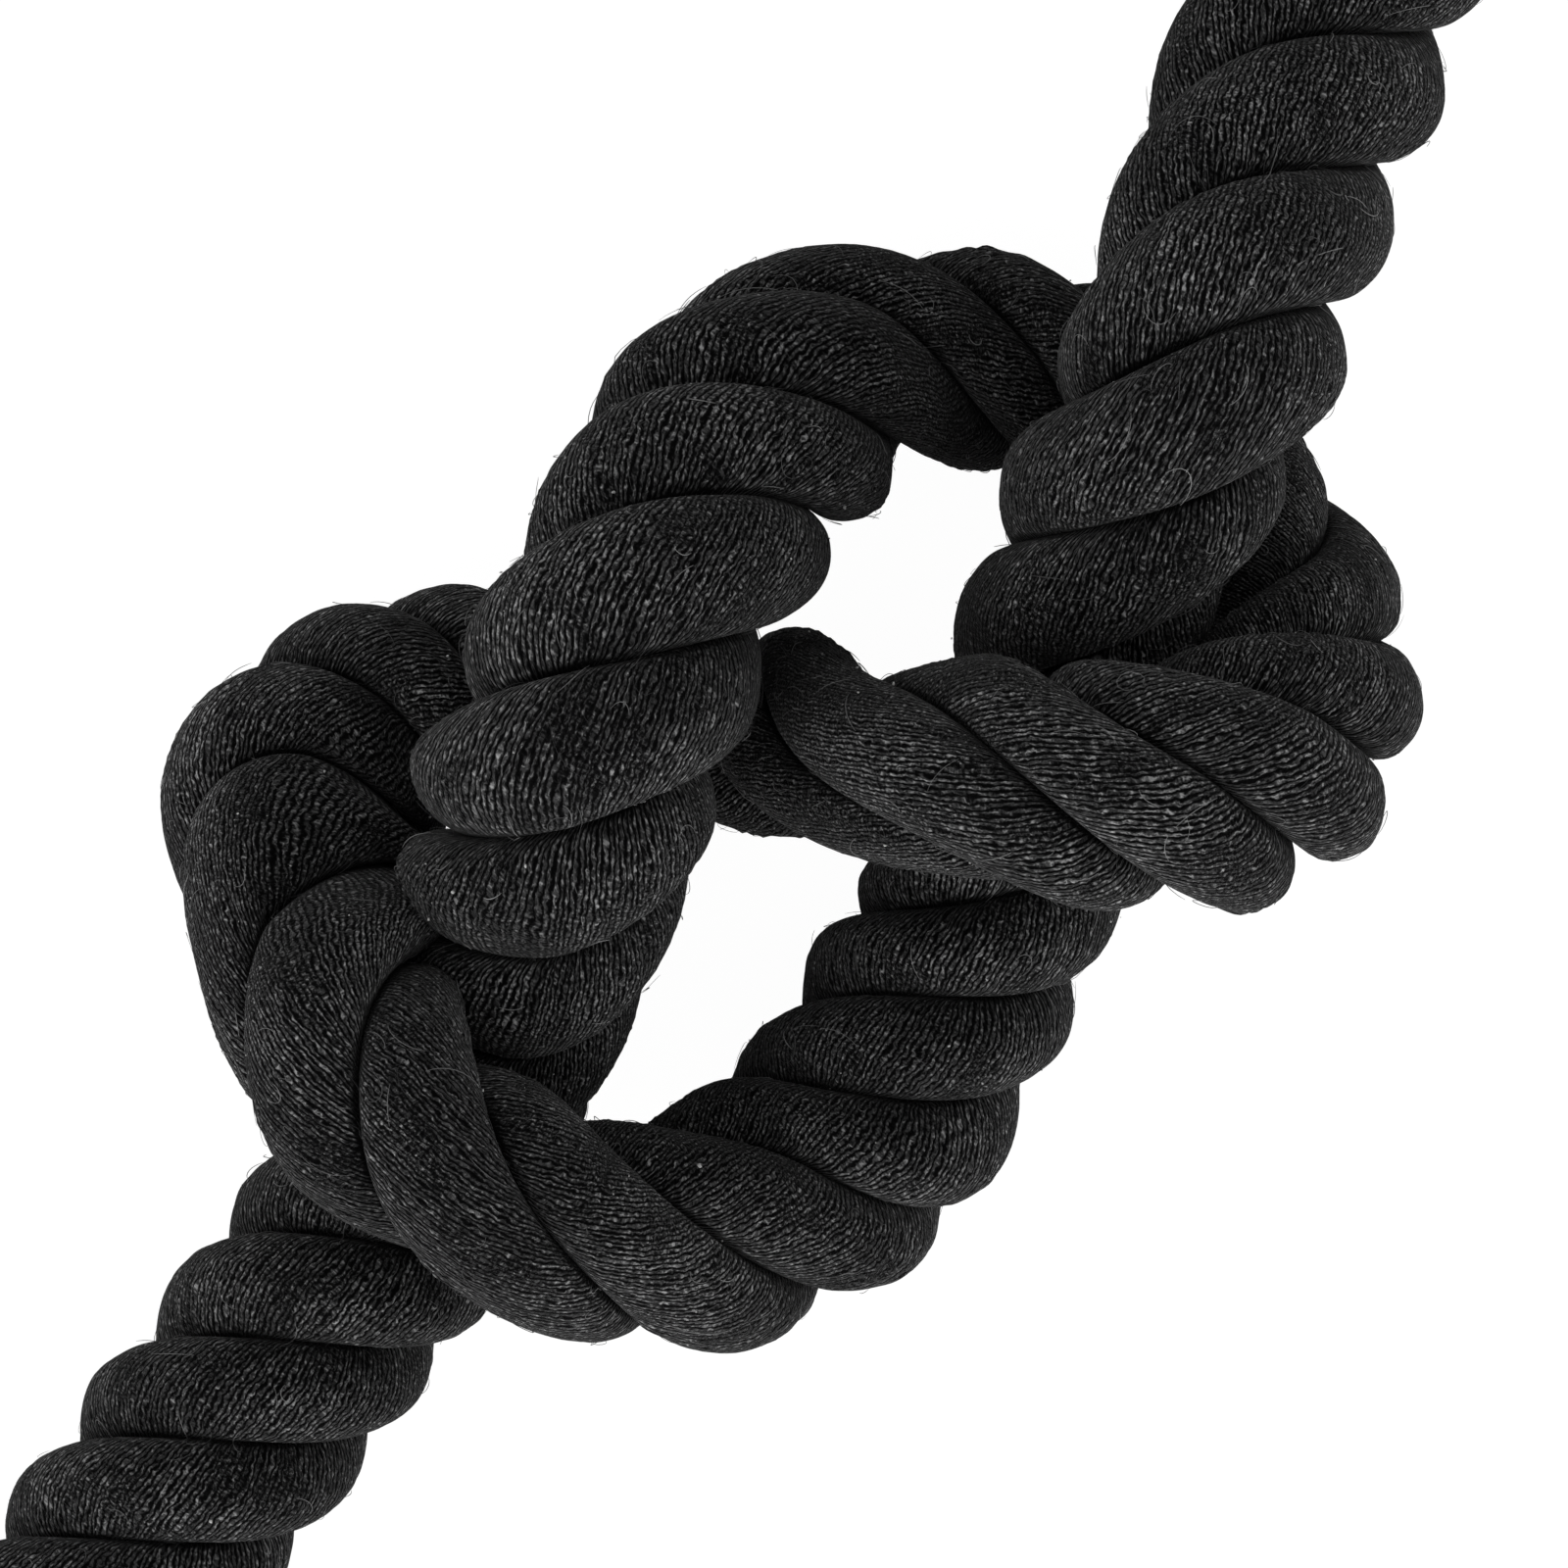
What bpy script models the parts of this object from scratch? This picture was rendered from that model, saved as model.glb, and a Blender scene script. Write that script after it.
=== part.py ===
"""A three-strand cotton gym rope, 38 mm thick and 3.05 m long. Its tail lies in an open figure-eight knot, and
the rest of its length is gathered in a hank that a strap holds at the waist. Both ends wear a moulded cap.

Metres, +Z up, and the floor is z = 0. The origin is on the floor, below the middle of the whole rope.
"""

import math

import bmesh
import bpy
import numpy as np
from mathutils import Vector

# The rope
ROPE_DIAMETER = 0.038
ROPE_LENGTH = 3.05
STRANDS = 3
STRAND_GAP = 0.0005
GROOVE_DEPTH = 0.24
GROOVE_POWER = 2.6
GROOVE_ANGLE = 50
RING_STEP = 0.006
SECTION_STEPS = 6

# The rope's way through the knot: x, y and z in millimetres, its girth there as a share of the full diameter,
# and the strand grooves counted along its top. It is tied tight, so it is thinnest inside the knot.
ROUTE_MM = [
    (93, 190, 19, 1.00, -4.3),
    (86, 142, 19, 1.00, -2.1),
    (74, 107, 24, 0.99, -0.45),
    (61, 72, 41, 0.98, 1.08),
    (51, 48, 50, 0.96, 2.5),
    (40, 25, 35, 0.88, 3.95),
    (35, 3, 18.5, 0.86, 5.1),
    (28, -16, 18, 0.91, 6.1),
    (21, -29, 18, 0.94, 7.0),
    (11, -43, 18, 0.94, 8.0),
    (-1, -54, 21, 0.88, 8.95),
    (-15, -60, 31, 0.77, 9.8),
    (-29, -59, 42, 0.71, 10.8),
    (-43, -51, 48, 0.71, 11.45),
    (-56, -39, 45, 0.75, 12.2),
    (-66, -25, 34, 0.79, 12.8),
    (-69, -9, 23, 0.82, 13.45),
    (-64, 4, 17, 0.84, 14.15),
    (-49, 12, 15, 0.79, 15.4),
    (-28, 9, 14, 0.73, 16.65),
    (-6, 7, 20, 0.72, 17.75),
    (10, 4, 38, 0.73, 18.85),
    (26, 2, 55, 0.79, 19.7),
    (44, 1, 59, 0.79, 20.8),
    (60, 4, 51, 0.79, 21.85),
    (70, 13, 36, 0.78, 22.95),
    (70, 27, 21, 0.76, 24.0),
    (59, 42, 15, 0.75, 25.0),
    (43, 54, 15, 0.75, 26.05),
    (25, 59, 15, 0.75, 27.3),
    (11, 58, 19, 0.81, 28.05),
    (0, 51, 28, 0.92, 28.65),
    (-10, 36, 40, 0.96, 29.7),
    (-19, 19, 49, 0.97, 30.65),
    (-26, 3, 49, 0.98, 31.75),
    (-30, -16, 36, 0.91, 33.1),
    (-36, -34, 21, 0.85, 34.1),
    (-46, -51, 17, 0.88, 35.05),
    (-58, -65, 18, 0.95, 36.1),
    (-70, -80, 19, 0.95, 37.2),
    (-88, -104, 20, 0.95, 39.1),
    (-106, -128, 20, 0.95, 41.0),
    (-127, -156, 20, 0.95, 43.2),
]

# The hank: two round folds, drawn in to a narrow waist, with the last turn riding on the first
FOLD_RADIUS = 0.114
WAIST_RADIUS = 0.075
WAIST_GAP = 0.001
LAYER_GAP = 0.0020
FOLD_POINTS = 8
WAIST_BEND = 0.62
CLIMB_POINTS = 3
HANK_JOIN_ASIDE = 0.0016
HANK_JOIN_AHEAD = 0.023

# The strap round the hank's waist
STRAP_WIDTH = 0.025
STRAP_THICKNESS = 0.002
STRAP_MARGIN = 0.0035
STRAP_CORNER_STEPS = 8

# The caps on the two ends
CAP_LENGTH = 0.040
CAP_WALL = 0.0015
CAP_ROUNDING = 0.004
CAP_ROUNDING_STEPS = 4
CAP_STEPS = 32
CAP_APPROACH = 0.008

CLEARANCE = 0.0003

ROPE_RADIUS = ROPE_DIAMETER / 2
FLAT_DEPTH = ROPE_DIAMETER / 10
LYING_HEIGHT = ROPE_RADIUS - FLAT_DEPTH
LAYER_STEP = ROPE_DIAMETER + LAYER_GAP
HALF_WAIST = (ROPE_DIAMETER + WAIST_GAP) / 2
WAIST_RUN = STRAP_WIDTH + 2 * STRAP_MARGIN
STRAPPED_HEIGHT = STRAP_THICKNESS + CLEARANCE + ROPE_RADIUS
ROPE_IN_CAP = CAP_LENGTH - CAP_WALL - CLEARANCE


def clear_scene():
    for obj in list(bpy.data.objects):
        bpy.data.objects.remove(obj, do_unlink=True)


def new_collection(name):
    collection = bpy.data.collections.new(name)
    bpy.context.scene.collection.children.link(collection)
    return collection


def new_material(name, color, roughness):
    material = bpy.data.materials.new(name)
    material.use_nodes = True
    shader = material.node_tree.nodes["Principled BSDF"]
    shader.inputs["Base Color"].default_value = (*color, 1)
    shader.inputs["Roughness"].default_value = roughness
    shader.inputs["Metallic"].default_value = 0
    return material


def add_object(name, data, collection, material, root):
    obj = bpy.data.objects.new(name, data)
    data.materials.append(material)
    collection.objects.link(obj)
    obj.parent = root
    return obj


def smooth_step(share):
    return share * share * (3 - 2 * share)


def natural_spline(rows, knots, at):
    """The natural cubic spline through the rows at the knots, read at the values `at`."""
    count = len(knots)
    spans = np.diff(knots)
    matrix = np.eye(count)
    pull = np.zeros((count, rows.shape[1]))
    slopes = np.diff(rows, axis=0) / spans[:, None]
    for i in range(1, count - 1):
        matrix[i, i - 1 : i + 2] = spans[i - 1], 2 * (spans[i - 1] + spans[i]), spans[i]
        pull[i] = 6 * (slopes[i] - slopes[i - 1])
    bend = np.linalg.solve(matrix, pull)
    k = np.clip(np.searchsorted(knots, at) - 1, 0, count - 2)
    after = (at - knots[k])[:, None]
    before = (knots[k + 1] - at)[:, None]
    span = spans[k][:, None]
    return (
        (bend[k] * before**3 + bend[k + 1] * after**3) / (6 * span)
        + (rows[k] / span - bend[k] * span / 6) * before
        + (rows[k + 1] / span - bend[k + 1] * span / 6) * after
    )


def free_stretch():
    """Evenly spaced rings along the knot: their centres, directions, radii and grooves passed."""
    rows = np.array(ROUTE_MM)
    rows[:, :3] /= 1000
    chords = np.linalg.norm(np.diff(rows[:, :3], axis=0), axis=1)
    knots = np.concatenate([[0], np.cumsum(np.sqrt(chords))])
    fine = np.linspace(0, knots[-1], 8000)
    along = np.linalg.norm(np.diff(natural_spline(rows, knots, fine)[:, :3], axis=0), axis=1)
    along = np.concatenate([[0], np.cumsum(along)])
    stations = np.linspace(0, along[-1], round(along[-1] / RING_STEP) + 1)
    rings = natural_spline(rows, knots, np.interp(stations, along, fine))
    radii = ROPE_RADIUS * rings[:, 3]
    centres = rings[:, :3]
    centres[:, 2] = np.maximum(centres[:, 2], radii)
    directions = np.gradient(centres, stations, axis=0)
    directions /= np.linalg.norm(directions, axis=1)[:, None]
    return {"at": stations, "centres": centres, "directions": directions, "radii": radii, "grooves": rings[:, 4]}


def strand_section(radius):
    """One strand's section, as (across, outward) pairs, outward along its crest. It is a third of the rope."""
    half = math.pi / STRANDS
    inset = STRAND_GAP / 2
    section = [(0.0, inset / math.sin(half))]
    for step in range(SECTION_STEPS + 1):
        angle = half * (2 * step / SECTION_STEPS - 1)
        reach = radius * (1 - GROOVE_DEPTH * abs(angle / half) ** GROOVE_POWER)
        across, outward = reach * math.sin(angle), reach * math.cos(angle)
        if step in (0, SECTION_STEPS):
            across -= math.copysign(inset * math.cos(half), angle)
            outward += inset * math.sin(half)
        section.append((across, outward))
    return section


def strand_mesh(index, stretch):
    """A loft of one strand's section along the rope, turning with the lay."""
    mesh = bpy.data.meshes.new(f"rope_strand_{index + 1}")
    shape = bmesh.new()
    rings = []
    for centre, direction, radius, grooves in zip(
        stretch["centres"], stretch["directions"], stretch["radii"], stretch["grooves"]
    ):
        side = np.cross((0, 0, 1), direction)
        side /= np.linalg.norm(side)
        up = np.cross(direction, side)
        crest = (index + 0.5 - grooves) * 2 * math.pi / STRANDS
        outward = up * math.cos(crest) + side * math.sin(crest)
        across = side * math.cos(crest) - up * math.sin(crest)
        rings.append([shape.verts.new(centre + across * a + outward * o) for a, o in strand_section(radius)])
    count = len(rings[0])
    for ring, following in zip(rings, rings[1:]):
        for i in range(count):
            # Both walls of a groove take their diagonal from the heart outwards, so the gap between them is even.
            near, far = (i, i + 1) if i + 1 < count else (0, i)
            shape.faces.new((ring[near], ring[far], following[far]))
            shape.faces.new((ring[near], following[far], following[near]))
    for ring in (rings[0], rings[-1]):
        for i in range(1, count - 1):
            shape.faces.new((ring[0], ring[i], ring[i + 1]))
    bmesh.ops.recalc_face_normals(shape, faces=shape.faces)
    shape.to_mesh(mesh)
    shape.free()
    mesh.shade_smooth()
    mesh.set_sharp_from_angle(angle=math.radians(GROOVE_ANGLE))
    return mesh


def hank_turn(low, opening):
    """One turn in plan, from the low fold's right side round to it again.

    Each point is (x, y, drawn in): 1 in the strap, 0 on the folds.
    """
    step = (math.pi + 2 * opening) / FOLD_POINTS
    high_y = low.y + 2 * (FOLD_RADIUS + WAIST_RADIUS) * math.sin(opening) + WAIST_RUN
    middle_y = (low.y + high_y) / 2

    def fold(centre_y, start):
        angles = [start + step * (i + 0.5) for i in range(FOLD_POINTS)]
        return [
            (low.x + FOLD_RADIUS * math.cos(a), centre_y + FOLD_RADIUS * math.sin(a), 0.0) for a in angles
        ]

    def waist(side):
        bend = WAIST_BEND * opening
        aside = HALF_WAIST + WAIST_RADIUS * (1 - math.cos(bend))
        ahead = WAIST_RUN / 2 + WAIST_RADIUS * math.sin(bend)
        drawn_in = math.cos(math.pi / 2 * WAIST_BEND) ** 2
        run = [(aside, -ahead, drawn_in), (HALF_WAIST, -WAIST_RUN / 2, 1.0)]
        run += [(x, -y, share) for x, y, share in reversed(run)]
        return [(low.x + side * x, middle_y + side * y, share) for x, y, share in run]

    low_fold = fold(low.y, math.pi - opening)
    high_fold = fold(high_y, -opening)
    return low_fold[-2:] + waist(1) + high_fold + waist(-1) + low_fold[:-2], middle_y


def hank_route(start, heading):
    """The tube's points from the knot's lead, round the first turn on the floor and along the second on top."""
    opening = math.acos((HALF_WAIST + WAIST_RADIUS) / (FOLD_RADIUS + WAIST_RADIUS))
    lead_end = start + heading * ROPE_DIAMETER
    low = Vector((lead_end.x + HANK_JOIN_ASIDE - FOLD_RADIUS, lead_end.y + HANK_JOIN_AHEAD))
    turn, middle_y = hank_turn(low, opening)
    lying = [LYING_HEIGHT + (STRAPPED_HEIGHT - LYING_HEIGHT) * share for _, _, share in turn]
    lying[0] = (start.z + LYING_HEIGHT) / 2
    first = [Vector((x, y, z)) for (x, y, _), z in zip(turn, lying)]
    for climbed in range(1, CLIMB_POINTS + 1):
        rise = start.z + LAYER_STEP - LYING_HEIGHT
        first[climbed - CLIMB_POINTS - 1].z += rise * smooth_step(climbed / CLIMB_POINTS)
    second = []
    for (x, y, share), z in zip(turn, lying):
        # At the waist the upper run sinks into the valley between the two lower ones.
        shift = HALF_WAIST * share
        second.append(Vector((x - shift, y, z + math.sqrt(LAYER_STEP**2 - shift**2))))
    return [start, lead_end] + first + second, Vector((low.x, middle_y, 0))


def cut_to_length(points, length, straight):
    """The points up to a length along them, the last stretch straight and lifted for its cap."""
    kept = [points[0]]
    for point in points[1:]:
        step = point - kept[-1]
        if step.length > length - straight:
            break
        kept.append(point)
        length -= step.length
    lift = Vector((0, 0, CAP_WALL + CLEARANCE))
    kept.append(kept[-1] + step.normalized() * length + lift)
    kept[-2] = kept[-2] + lift
    return kept


def least_gap(points, diameters):
    """The least gap between stretches that lie more than three diameters apart along the points."""
    points = np.array(points)
    along = np.concatenate([[0], np.cumsum(np.linalg.norm(np.diff(points, axis=0), axis=1))])
    at = np.arange(0, along[-1], ROPE_RADIUS / 8)
    fine = np.column_stack([np.interp(at, along, points[:, axis]) for axis in range(3)])
    width = np.interp(at, along, diameters)
    apart = np.linalg.norm(fine[:, None] - fine[None], axis=2) - (width[:, None] + width[None]) / 2
    return apart[np.abs(at[:, None] - at[None]) > 3 * ROPE_DIAMETER].min()


def floor_cutter(cutters, root, middle):
    """A block below the floor, which trims flat what lies on it."""
    side = 4 * (FOLD_RADIUS + WAIST_RADIUS + ROPE_DIAMETER)
    bpy.ops.mesh.primitive_cube_add(size=1, location=(middle.x, middle.y, -ROPE_RADIUS))
    cutter = bpy.context.object
    cutter.name = "floor_cutter"
    cutter.scale = (side, side, ROPE_DIAMETER)
    cutter.parent = root
    cutter.hide_render = True
    cutter.display_type = "WIRE"
    for collection in cutter.users_collection:
        collection.objects.unlink(cutter)
    cutters.objects.link(cutter)
    return cutter


def make_hank(points, parts, material, root, cutter):
    curve = bpy.data.curves.new("hank", "CURVE")
    curve.dimensions = "3D"
    curve.twist_mode = "Z_UP"
    curve.bevel_depth = ROPE_RADIUS
    curve.bevel_resolution = 1
    curve.use_fill_caps = True
    spline = curve.splines.new("POLY")
    spline.points.add(len(points) - 1)
    for spline_point, point in zip(spline.points, points):
        spline_point.co = (*point, 1)
    tube = bpy.data.objects.new("hank_tube", curve)
    parts.objects.link(tube)
    evaluated = tube.evaluated_get(bpy.context.evaluated_depsgraph_get())
    mesh = bpy.data.meshes.new_from_object(evaluated)
    bpy.data.objects.remove(tube)
    shape = bmesh.new()
    shape.from_mesh(mesh)
    bmesh.ops.remove_doubles(shape, verts=shape.verts, dist=CLEARANCE / 10)
    bmesh.ops.recalc_face_normals(shape, faces=shape.faces)
    shape.to_mesh(mesh)
    shape.free()
    mesh.shade_smooth()
    mesh.set_sharp_from_angle(angle=math.radians(GROOVE_ANGLE))
    hank = add_object("hank", mesh, parts, material, root)
    trim = hank.modifiers.new("flat on the floor", "BOOLEAN")
    trim.operation = "DIFFERENCE"
    trim.object = cutter


def hugging_outline(centres, radius):
    """The outline of a band drawn tight round circles, as arcs joined by straight runs."""
    outline = []
    for before, centre, after in zip(centres[-1:] + centres, centres, centres[1:] + centres[:1]):
        start = math.atan2(*reversed(centre - before)) - math.pi / 2
        turn = (math.atan2(*reversed(after - centre)) - math.pi / 2 - start) % (2 * math.pi)
        for step in range(STRAP_CORNER_STEPS + 1):
            angle = start + turn * step / STRAP_CORNER_STEPS
            outline.append(centre + radius * Vector((math.cos(angle), math.sin(angle))))
    return outline


def make_strap(middle, parts, material, root):
    """A flat band round the hank's three runs. It stands on the floor, below them."""
    valley = math.sqrt(LAYER_STEP**2 - HALF_WAIST**2)
    runs = [
        Vector((-HALF_WAIST, STRAPPED_HEIGHT)),
        Vector((HALF_WAIST, STRAPPED_HEIGHT)),
        Vector((0, STRAPPED_HEIGHT + valley)),
    ]
    curve = bpy.data.curves.new("hank_strap", "CURVE")
    curve.dimensions = "2D"
    curve.fill_mode = "BOTH"
    curve.extrude = STRAP_WIDTH / 2
    inside = ROPE_RADIUS + CLEARANCE
    for radius in (inside + STRAP_THICKNESS, inside):
        outline = hugging_outline(runs, radius)
        spline = curve.splines.new("POLY")
        spline.points.add(len(outline) - 1)
        for spline_point, point in zip(spline.points, outline):
            spline_point.co = (*point, 0, 1)
        spline.use_cyclic_u = True
    strap = add_object("hank_strap", curve, parts, material, root)
    strap.location = middle
    strap.rotation_euler = (math.pi / 2, 0, 0)


def make_cap(name, rope_end, outward, rope_radius, parts, material, root):
    """A turned cup on a rope's end, open towards the rope."""
    inside = rope_radius + CLEARANCE
    outside = inside + CAP_WALL
    profile = [(0, CAP_LENGTH)]
    for step in range(CAP_ROUNDING_STEPS + 1):
        angle = math.pi / 2 * (1 - step / CAP_ROUNDING_STEPS)
        across = outside - CAP_ROUNDING * (1 - math.cos(angle))
        profile.append((across, CAP_LENGTH - CAP_ROUNDING * (1 - math.sin(angle))))
    profile += [(outside, 0), (inside, 0), (inside, CAP_LENGTH - CAP_WALL), (0, CAP_LENGTH - CAP_WALL)]
    mesh = bpy.data.meshes.new(name)
    edges = [(i, i + 1) for i in range(len(profile) - 1)]
    mesh.from_pydata([(x, 0, z) for x, z in profile], edges, [])
    cap = add_object(name, mesh, parts, material, root)
    cap.location = rope_end - outward * ROPE_IN_CAP
    cap.rotation_euler = outward.to_track_quat("Z", "Y").to_euler()
    screw = cap.modifiers.new("turned", "SCREW")
    screw.steps = CAP_STEPS
    screw.render_steps = CAP_STEPS
    screw.use_merge_vertices = True
    screw.merge_threshold = CLEARANCE / 10


def centre_on_origin(root, parts):
    """Moves the whole rope so that its middle is above the origin."""
    bpy.context.view_layer.update()
    corners = np.array([obj.matrix_world @ Vector(c) for obj in parts.objects for c in obj.bound_box])
    low, high = corners.min(axis=0), corners.max(axis=0)
    root.location = (-(low[0] + high[0]) / 2, -(low[1] + high[1]) / 2, 0)
    bpy.context.view_layer.update()


def main():
    clear_scene()
    parts = new_collection("cotton_rope")
    cutters = new_collection("cutters")
    root = bpy.data.objects.new("cotton_rope_root", None)
    parts.objects.link(root)

    stretch = free_stretch()
    cotton = (0.018, 0.018, 0.019)
    for index in range(STRANDS):
        material = new_material(f"strand_{index + 1}_cotton", cotton, 0.95)
        add_object(f"rope_strand_{index + 1}", strand_mesh(index, stretch), parts, material, root)

    heading = Vector(-stretch["directions"][0])
    start = Vector(stretch["centres"][0]) + heading * CLEARANCE
    points, middle = hank_route(start, heading)
    hank_length = ROPE_LENGTH - stretch["at"][-1] - CLEARANCE
    points = cut_to_length(points, hank_length, ROPE_IN_CAP + CAP_APPROACH)
    make_hank(points, parts, new_material("hank_cotton", cotton, 0.95), root, floor_cutter(cutters, root, middle))
    make_strap(middle, parts, new_material("strap_webbing", (0.02, 0.02, 0.022), 0.8), root)

    tail = Vector(stretch["centres"][-1])
    outward = Vector(stretch["directions"][-1])
    rubber = (0.015, 0.015, 0.016)
    tail_radius = stretch["radii"][-1]
    make_cap("tail_end_cap", tail, outward, tail_radius, parts, new_material("tail_cap_rubber", rubber, 0.55), root)
    outward = (points[-1] - points[-2]).normalized()
    standing = new_material("standing_cap_rubber", rubber, 0.55)
    make_cap("standing_end_cap", points[-1], outward, ROPE_RADIUS, parts, standing, root)
    centre_on_origin(root, parts)

    hank_gap = least_gap(points, np.full(len(points), ROPE_DIAMETER))
    knot_gap = least_gap(stretch["centres"], 2 * stretch["radii"])
    print(f"hank's least gap to itself: {hank_gap * 1000:.2f} mm")
    print(f"knot's least gap to itself: {knot_gap * 1000:.2f} mm")
    print(f"free stretch {stretch['at'][-1]:.3f} m and hank {hank_length:.3f} m")


main()
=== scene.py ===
# %% [markdown]
# # A cotton gym rope, its tail in a figure-eight knot
#
# The object is one length of thick laid rope: three fat strands twisted round each other, each strand twisted from
# dozens of cotton yarns. Its tail lies in an open figure-eight knot, which the camera looks down on. The rest is
# gathered in a hank with a strap round its waist, beyond the picture, and both ends wear a moulded cap.
#
# The plan is to work as a ropemaker does, from the large to the small: first the line that the rope follows, then
# the three strands that turn round that line, then the yarns in the strands' finish, and last the fluff on them.

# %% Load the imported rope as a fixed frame
import math

import bmesh
import bpy
import numpy as np
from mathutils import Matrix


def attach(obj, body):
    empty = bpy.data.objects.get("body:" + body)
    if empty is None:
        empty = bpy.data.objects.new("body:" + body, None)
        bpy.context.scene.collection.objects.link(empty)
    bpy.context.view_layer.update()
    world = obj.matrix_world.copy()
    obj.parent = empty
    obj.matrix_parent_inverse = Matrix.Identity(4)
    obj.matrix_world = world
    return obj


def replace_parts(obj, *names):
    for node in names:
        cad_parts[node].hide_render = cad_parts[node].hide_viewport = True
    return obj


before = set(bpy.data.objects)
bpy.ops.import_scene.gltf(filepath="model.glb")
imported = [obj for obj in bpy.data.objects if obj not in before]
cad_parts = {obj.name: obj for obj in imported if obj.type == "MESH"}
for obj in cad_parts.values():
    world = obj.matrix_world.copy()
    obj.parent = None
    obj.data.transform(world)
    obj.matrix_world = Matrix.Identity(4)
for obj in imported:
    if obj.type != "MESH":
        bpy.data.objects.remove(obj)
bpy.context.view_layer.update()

print("CAD nodes:", ", ".join(sorted(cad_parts)))

# %% [markdown]
# ## The camera
#
# The photograph looks straight down on the knot from about a metre, and is 214 mm wide at the height of the rope's
# middle. A camera with a long lens keeps the passes of the knot free of strong perspective. It comes first because
# the hank has to lie outside its view.

# %% A camera straight above the knot
ROPE_DIAMETER = 0.038
ROPE_RADIUS = ROPE_DIAMETER / 2
PICTURE_CENTRE = (0.0155, -0.2835)
CAMERA_HEIGHT = 1.0
LENS_MM = 165.3
SENSOR_MM = 36


def put_in_scene(name, data):
    """A new object in the scene's own collection."""
    thing = bpy.data.objects.new(name, data)
    bpy.context.scene.collection.objects.link(thing)
    return thing


camera_data = bpy.data.cameras.new("overhead")
camera_data.lens = LENS_MM
camera_data.sensor_width = SENSOR_MM
camera = put_in_scene("overhead", camera_data)
camera.location = (*PICTURE_CENTRE, CAMERA_HEIGHT)
bpy.context.scene.camera = camera
picture_width = SENSOR_MM / LENS_MM * (CAMERA_HEIGHT - ROPE_RADIUS)
print(f"the picture is {1000 * picture_width:.0f} mm across at the rope's middle")

# %% [markdown]
# ## The rope's line
#
# A rope is a fixed length of something limp, so everything here hangs on one smooth line, its centreline. The points
# below are the ones that the CAD model was made from, in metres: first the hank from the standing end, two laps
# long, then the knot. In the knot the rope is pulled thin where another pass squeezes it, so each point there also
# says how thick the rope is, as a share of its full 38 mm, and how many grooves have crossed the top so far.
#
# A curve object could be bent along these points, but the strands, yarns and stray fibres all need to know where
# "12 mm further along, a quarter turn round" is. A cubic spline in numpy answers that for thousands of places at
# once.

# %% The points of the hank, from the standing end to the lead that enters the knot
HANK = [
    (0.1013, 0.3659, 0.0570), (0.1138, 0.3195, 0.0570), (0.0857, 0.2518, 0.0552), (0.0286, 0.2086, 0.0566),
    (0.0000, 0.1633, 0.0562), (0.0000, 0.1313, 0.0562), (0.0286, 0.0859, 0.0566), (0.0857, 0.0428, 0.0552),
    (0.1138, -0.0250, 0.0571), (0.0948, -0.0957, 0.0590), (0.0366, -0.1404, 0.0476), (-0.0366, -0.1404, 0.0266),
    (-0.0948, -0.0957, 0.0152), (-0.1138, -0.0250, 0.0152), (-0.0857, 0.0428, 0.0152), (-0.0348, 0.0859, 0.0171),
    (-0.0195, 0.1313, 0.0213), (-0.0195, 0.1633, 0.0213), (-0.0348, 0.2086, 0.0171), (-0.0857, 0.2518, 0.0152),
    (-0.1138, 0.3195, 0.0152), (-0.0948, 0.3903, 0.0152), (-0.0366, 0.4349, 0.0152), (0.0366, 0.4349, 0.0152),
    (0.0948, 0.3903, 0.0152), (0.1138, 0.3195, 0.0152), (0.0857, 0.2518, 0.0152), (0.0348, 0.2086, 0.0171),
    (0.0195, 0.1633, 0.0213), (0.0195, 0.1313, 0.0213), (0.0348, 0.0859, 0.0171), (0.0857, 0.0428, 0.0152),
    (0.1138, -0.0250, 0.0171), (0.1124, -0.0554, 0.0190),
]
print(f"the hank has {len(HANK)} points")

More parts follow.
